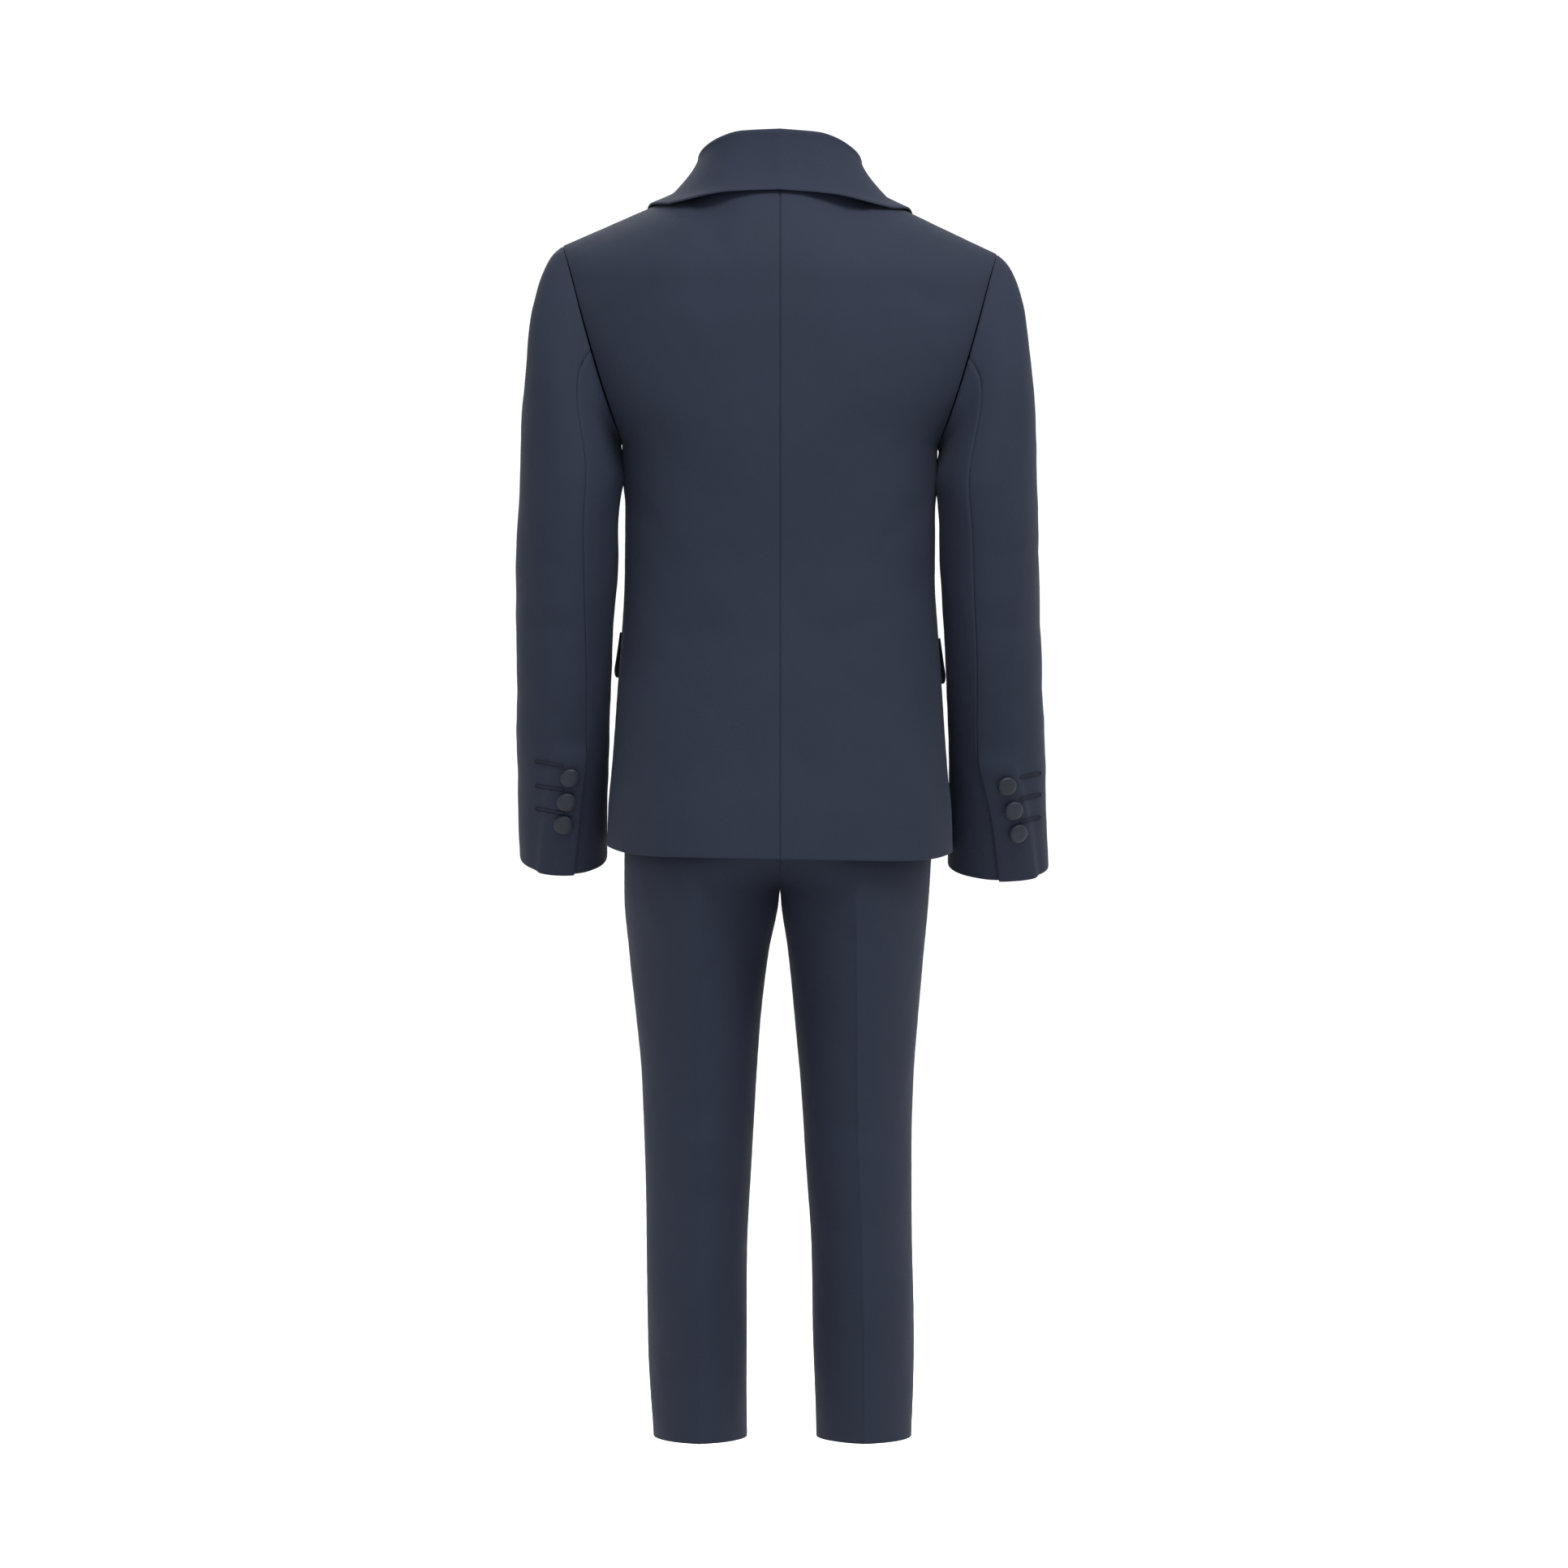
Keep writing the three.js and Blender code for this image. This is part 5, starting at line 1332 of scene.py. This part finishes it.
def drop(names, points, direction):
    """The points dropped along a direction onto the first cloth that they meet, with the cloth's normals."""
    found = []
    for p in points:
        hits = []
        for name in names:
            ok, spot, normal, _ = bpy.data.objects[name].ray_cast(Vector(p * MM), Vector(direction))
            if ok:
                hits.append(((spot - Vector(p * MM)).length, np.array(spot) / MM, np.array(normal)))
        if hits:
            _, spot, normal = min(hits, key=lambda hit: hit[0])
            found.append((spot, normal))
    return found


def tube_points(path, normals, radii, sides=6, flat=0.7):
    along = unit(np.gradient(path, axis=0))
    across = unit(np.cross(normals, along))
    turn = np.linspace(0, 2 * math.pi, sides, endpoint=False)
    ring = np.cos(turn)[None, :, None] * across[:, None] + flat * np.sin(turn)[None, :, None] * normals[:, None]
    return path[:, None] + ring * np.asarray(radii)[:, None, None]


def tube_faces(rings, sides, first, closed):
    i, j = np.meshgrid(np.arange(rings if closed else rings - 1), np.arange(sides), indexing="ij")
    a, b = i * sides + j, i * sides + (j + 1) % sides
    c, d = ((i + 1) % rings) * sides + (j + 1) % sides, ((i + 1) % rings) * sides + j
    return first + np.stack([a.ravel(), b.ravel(), c.ravel(), d.ravel()], axis=1)


def sew(name, runs, sides=6):
    """Several thread runs as one piece: each is its path, normals, radii and whether it closes."""
    points, faces, first = [], [], 0
    for path, normals, radii, closed in runs:
        ring = tube_points(path, normals, radii, sides)
        points.append(ring.reshape(-1, 3))
        faces.append(tube_faces(len(path), sides, first, closed))
        if not closed:
            near, far = first + np.arange(sides), first + (len(path) - 1) * sides + np.arange(sides)
            faces.append(np.stack([near[[0, 0]], near[[2, 4]], near[[1, 3]], near[[0, 0]]], axis=1)[:0])
            faces.append(np.array([[near[3], near[2], near[1], near[0]], [near[0], near[5], near[4], near[3]]]))
            faces.append(np.array([[far[0], far[1], far[2], far[3]], [far[3], far[4], far[5], far[0]]]))
        first += ring.shape[0] * sides
    points = np.concatenate(points)
    obj = add_mesh(name, points, np.concatenate(faces), points[:, [0, 2]])
    obj.data.materials.append(THREAD)
    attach(obj, "root")
    return obj


STITCH_RISE = 0.25
BUTTONHOLE_HALF = 1.3
BUTTONHOLE_PITCH = 0.9


def buttonhole(ends, names, direction):
    """A sewn buttonhole: a closed loop of tight stitches round a slit between two places."""
    start, end = (np.array(p, float) for p in ends)
    axis = unit(end - start)
    length = np.linalg.norm(end - start)
    side = unit(np.cross(axis, np.asarray(direction, float)))
    straight = length - 2 * BUTTONHOLE_HALF
    loop = 2 * straight + 2 * math.pi * BUTTONHOLE_HALF
    count = int(loop / BUTTONHOLE_PITCH) * 4
    at = np.linspace(0, loop, count, endpoint=False)
    places_on = []
    for d in at:
        if d < straight:
            u, v = BUTTONHOLE_HALF + d, BUTTONHOLE_HALF
        elif d < straight + math.pi * BUTTONHOLE_HALF:
            a = (d - straight) / BUTTONHOLE_HALF
            u, v = length - BUTTONHOLE_HALF + BUTTONHOLE_HALF * math.sin(a), BUTTONHOLE_HALF * math.cos(a)
        elif d < 2 * straight + math.pi * BUTTONHOLE_HALF:
            u, v = length - BUTTONHOLE_HALF - (d - straight - math.pi * BUTTONHOLE_HALF), -BUTTONHOLE_HALF
        else:
            a = (d - 2 * straight - math.pi * BUTTONHOLE_HALF) / BUTTONHOLE_HALF
            u, v = BUTTONHOLE_HALF - BUTTONHOLE_HALF * math.sin(a), -BUTTONHOLE_HALF * math.cos(a)
        places_on.append(start + axis * u + side * v)
    found = drop(names, places_on, direction)
    path = np.array([spot + normal * STITCH_RISE for spot, normal in found])
    normals = np.array([normal for _, normal in found])
    radii = 0.42 + 0.2 * np.cos(np.arange(len(path)) * math.pi / 2)
    return path, normals, radii, True


def running_stitch(line, names, direction, stitch=2.6, gap=0.9, radius=0.22):
    """A row of single stitches along a line."""
    line = np.array(line, float)
    steps = np.concatenate([[0], np.cumsum(np.linalg.norm(np.diff(line, axis=0), axis=1))])
    runs = []
    for begin in np.arange(0, steps[-1] - stitch, stitch + gap):
        at = np.linspace(begin, begin + stitch, 6)
        spots = np.stack([np.interp(at, steps, line[:, k]) for k in range(3)], axis=1)
        found = drop(names, spots, direction)
        if len(found) < 6:
            continue
        bow = np.sin(np.linspace(0, math.pi, 6)) * 0.18 + 0.02
        path = np.array([spot + normal * b for (spot, normal), b in zip(found, bow)])
        runs.append((path, np.array([normal for _, normal in found]), radius * (0.6 + 0.4 * np.sin(np.linspace(0.3, 2.8, 6))), False))
    return runs


ABOVE = 300
CUFF_HOLES = {
    "left": ((170, 192.6), (-452.5, -471.5, -490), (-448.8, -468, -486)),
    "right": ((-189, -206), (-461.5, -478.5, -496.5), (-457.8, -474.6, -492.6)),
}
for name, side in SIDES:
    (x0, x1), inner, outer = CUFF_HOLES[name]
    runs = [
        buttonhole(((x0, ABOVE, z0), (x1, ABOVE, z1)), (f"cloth_sleeve_top_{name}",), (0, -1, 0))
        for z0, z1 in zip(inner, outer)
    ]
    sew(f"cuff_buttonholes_{name}", runs)

front_hole = buttonhole(((10.5, -ABOVE, -336), (29, -ABOVE, -335.6)), ("cloth_jacket_front_left",), (0, 1, 0))
lapel_hole = buttonhole(((84, -ABOVE, -83), (99, -ABOVE, -77)), ("cloth_lapel_left",), (0, 1, 0))
sew("front_buttonhole", [front_hole])
sew("lapel_buttonhole", [lapel_hole])

fly = [(30, -ABOVE, -385), (30, -ABOVE, -470)]
fly += [(30 * math.cos(a), -ABOVE, -470 - 34 * math.sin(a)) for a in np.linspace(0.1, 1.45, 12)]
sew("fly_stitching", running_stitch(fly, ("cloth_trouser_front_left",), (0, 1, 0)))


# Stage: a plain pale floor, wide and round, so that it looks the same from every side
FLOOR_Z = -1060
FLOOR_REACH = 16000
FLOOR_SIDES = 96


def make_stage():
    turn = np.linspace(0, 2 * math.pi, FLOOR_SIDES, endpoint=False)
    rims = [np.stack([r * np.cos(turn), r * np.sin(turn), np.full_like(turn, FLOOR_Z)], axis=-1)
            for r in (1, 2000, FLOOR_REACH)]
    points = np.stack([np.concatenate([rim, rim[:1]]) for rim in rims])
    obj = add_mesh("stage", points.reshape(-1, 3), grid_faces(len(rims), FLOOR_SIDES + 1, 0, True))
    obj.data.materials.append(plain("stage_paper", (0.93, 0.93, 0.935), (0.96, 0.96, 0.96), 0.9, 3))


make_stage()


def area_light(name, at, aim, width, height, power, colour=(1, 1, 1)):
    light = bpy.data.lights.new(name, "AREA")
    light.shape = "RECTANGLE"
    light.size, light.size_y = width, height
    light.energy = power
    light.color = colour
    obj = bpy.data.objects.new(name, light)
    obj.location = at
    direction = Vector(aim) - Vector(at)
    obj.rotation_euler = direction.to_track_quat("-Z", "Y").to_euler()
    bpy.context.scene.collection.objects.link(obj)


area_light("key", (-0.8, 1.7, 2.8), (0, 0, -0.1), 1.8, 1.4, 165)
area_light("fill", (0.9, 3.6, 0.5), (0, 0, -0.4), 2.0, 2.2, 38)
area_light("top", (-0.35, 0.9, 1.1), (0, 0, -0.05), 0.9, 0.6, 24)
area_light("front", (0.9, -2.8, 2.6), (0, 0, -0.3), 2.0, 1.6, 95)
area_light("rim_left", (2.6, -0.8, 0.5), (0, 0, -0.4), 1.2, 2.4, 10)
area_light("rim_right", (-2.6, -0.8, 0.5), (0, 0, -0.4), 1.2, 2.4, 10)

world = bpy.data.worlds.new("studio")
world.use_nodes = True
world.node_tree.nodes["Background"].inputs["Color"].default_value = (1, 1, 1, 1)
world.node_tree.nodes["Background"].inputs["Strength"].default_value = 1.09
bpy.context.scene.world = world
bpy.context.scene.view_settings.view_transform = "Standard"

# Camera: level, behind the wearer, at the photograph's angle
camera = bpy.data.cameras.new("camera")
camera.sensor_width = 36
camera.lens = 160.1
camera_object = bpy.data.objects.new("camera", camera)
camera_object.location = (-0.0032, 5.5, -0.4666)
camera_object.rotation_euler = (math.pi / 2, 0, math.pi)
bpy.context.scene.collection.objects.link(camera_object)
bpy.context.scene.camera = camera_object
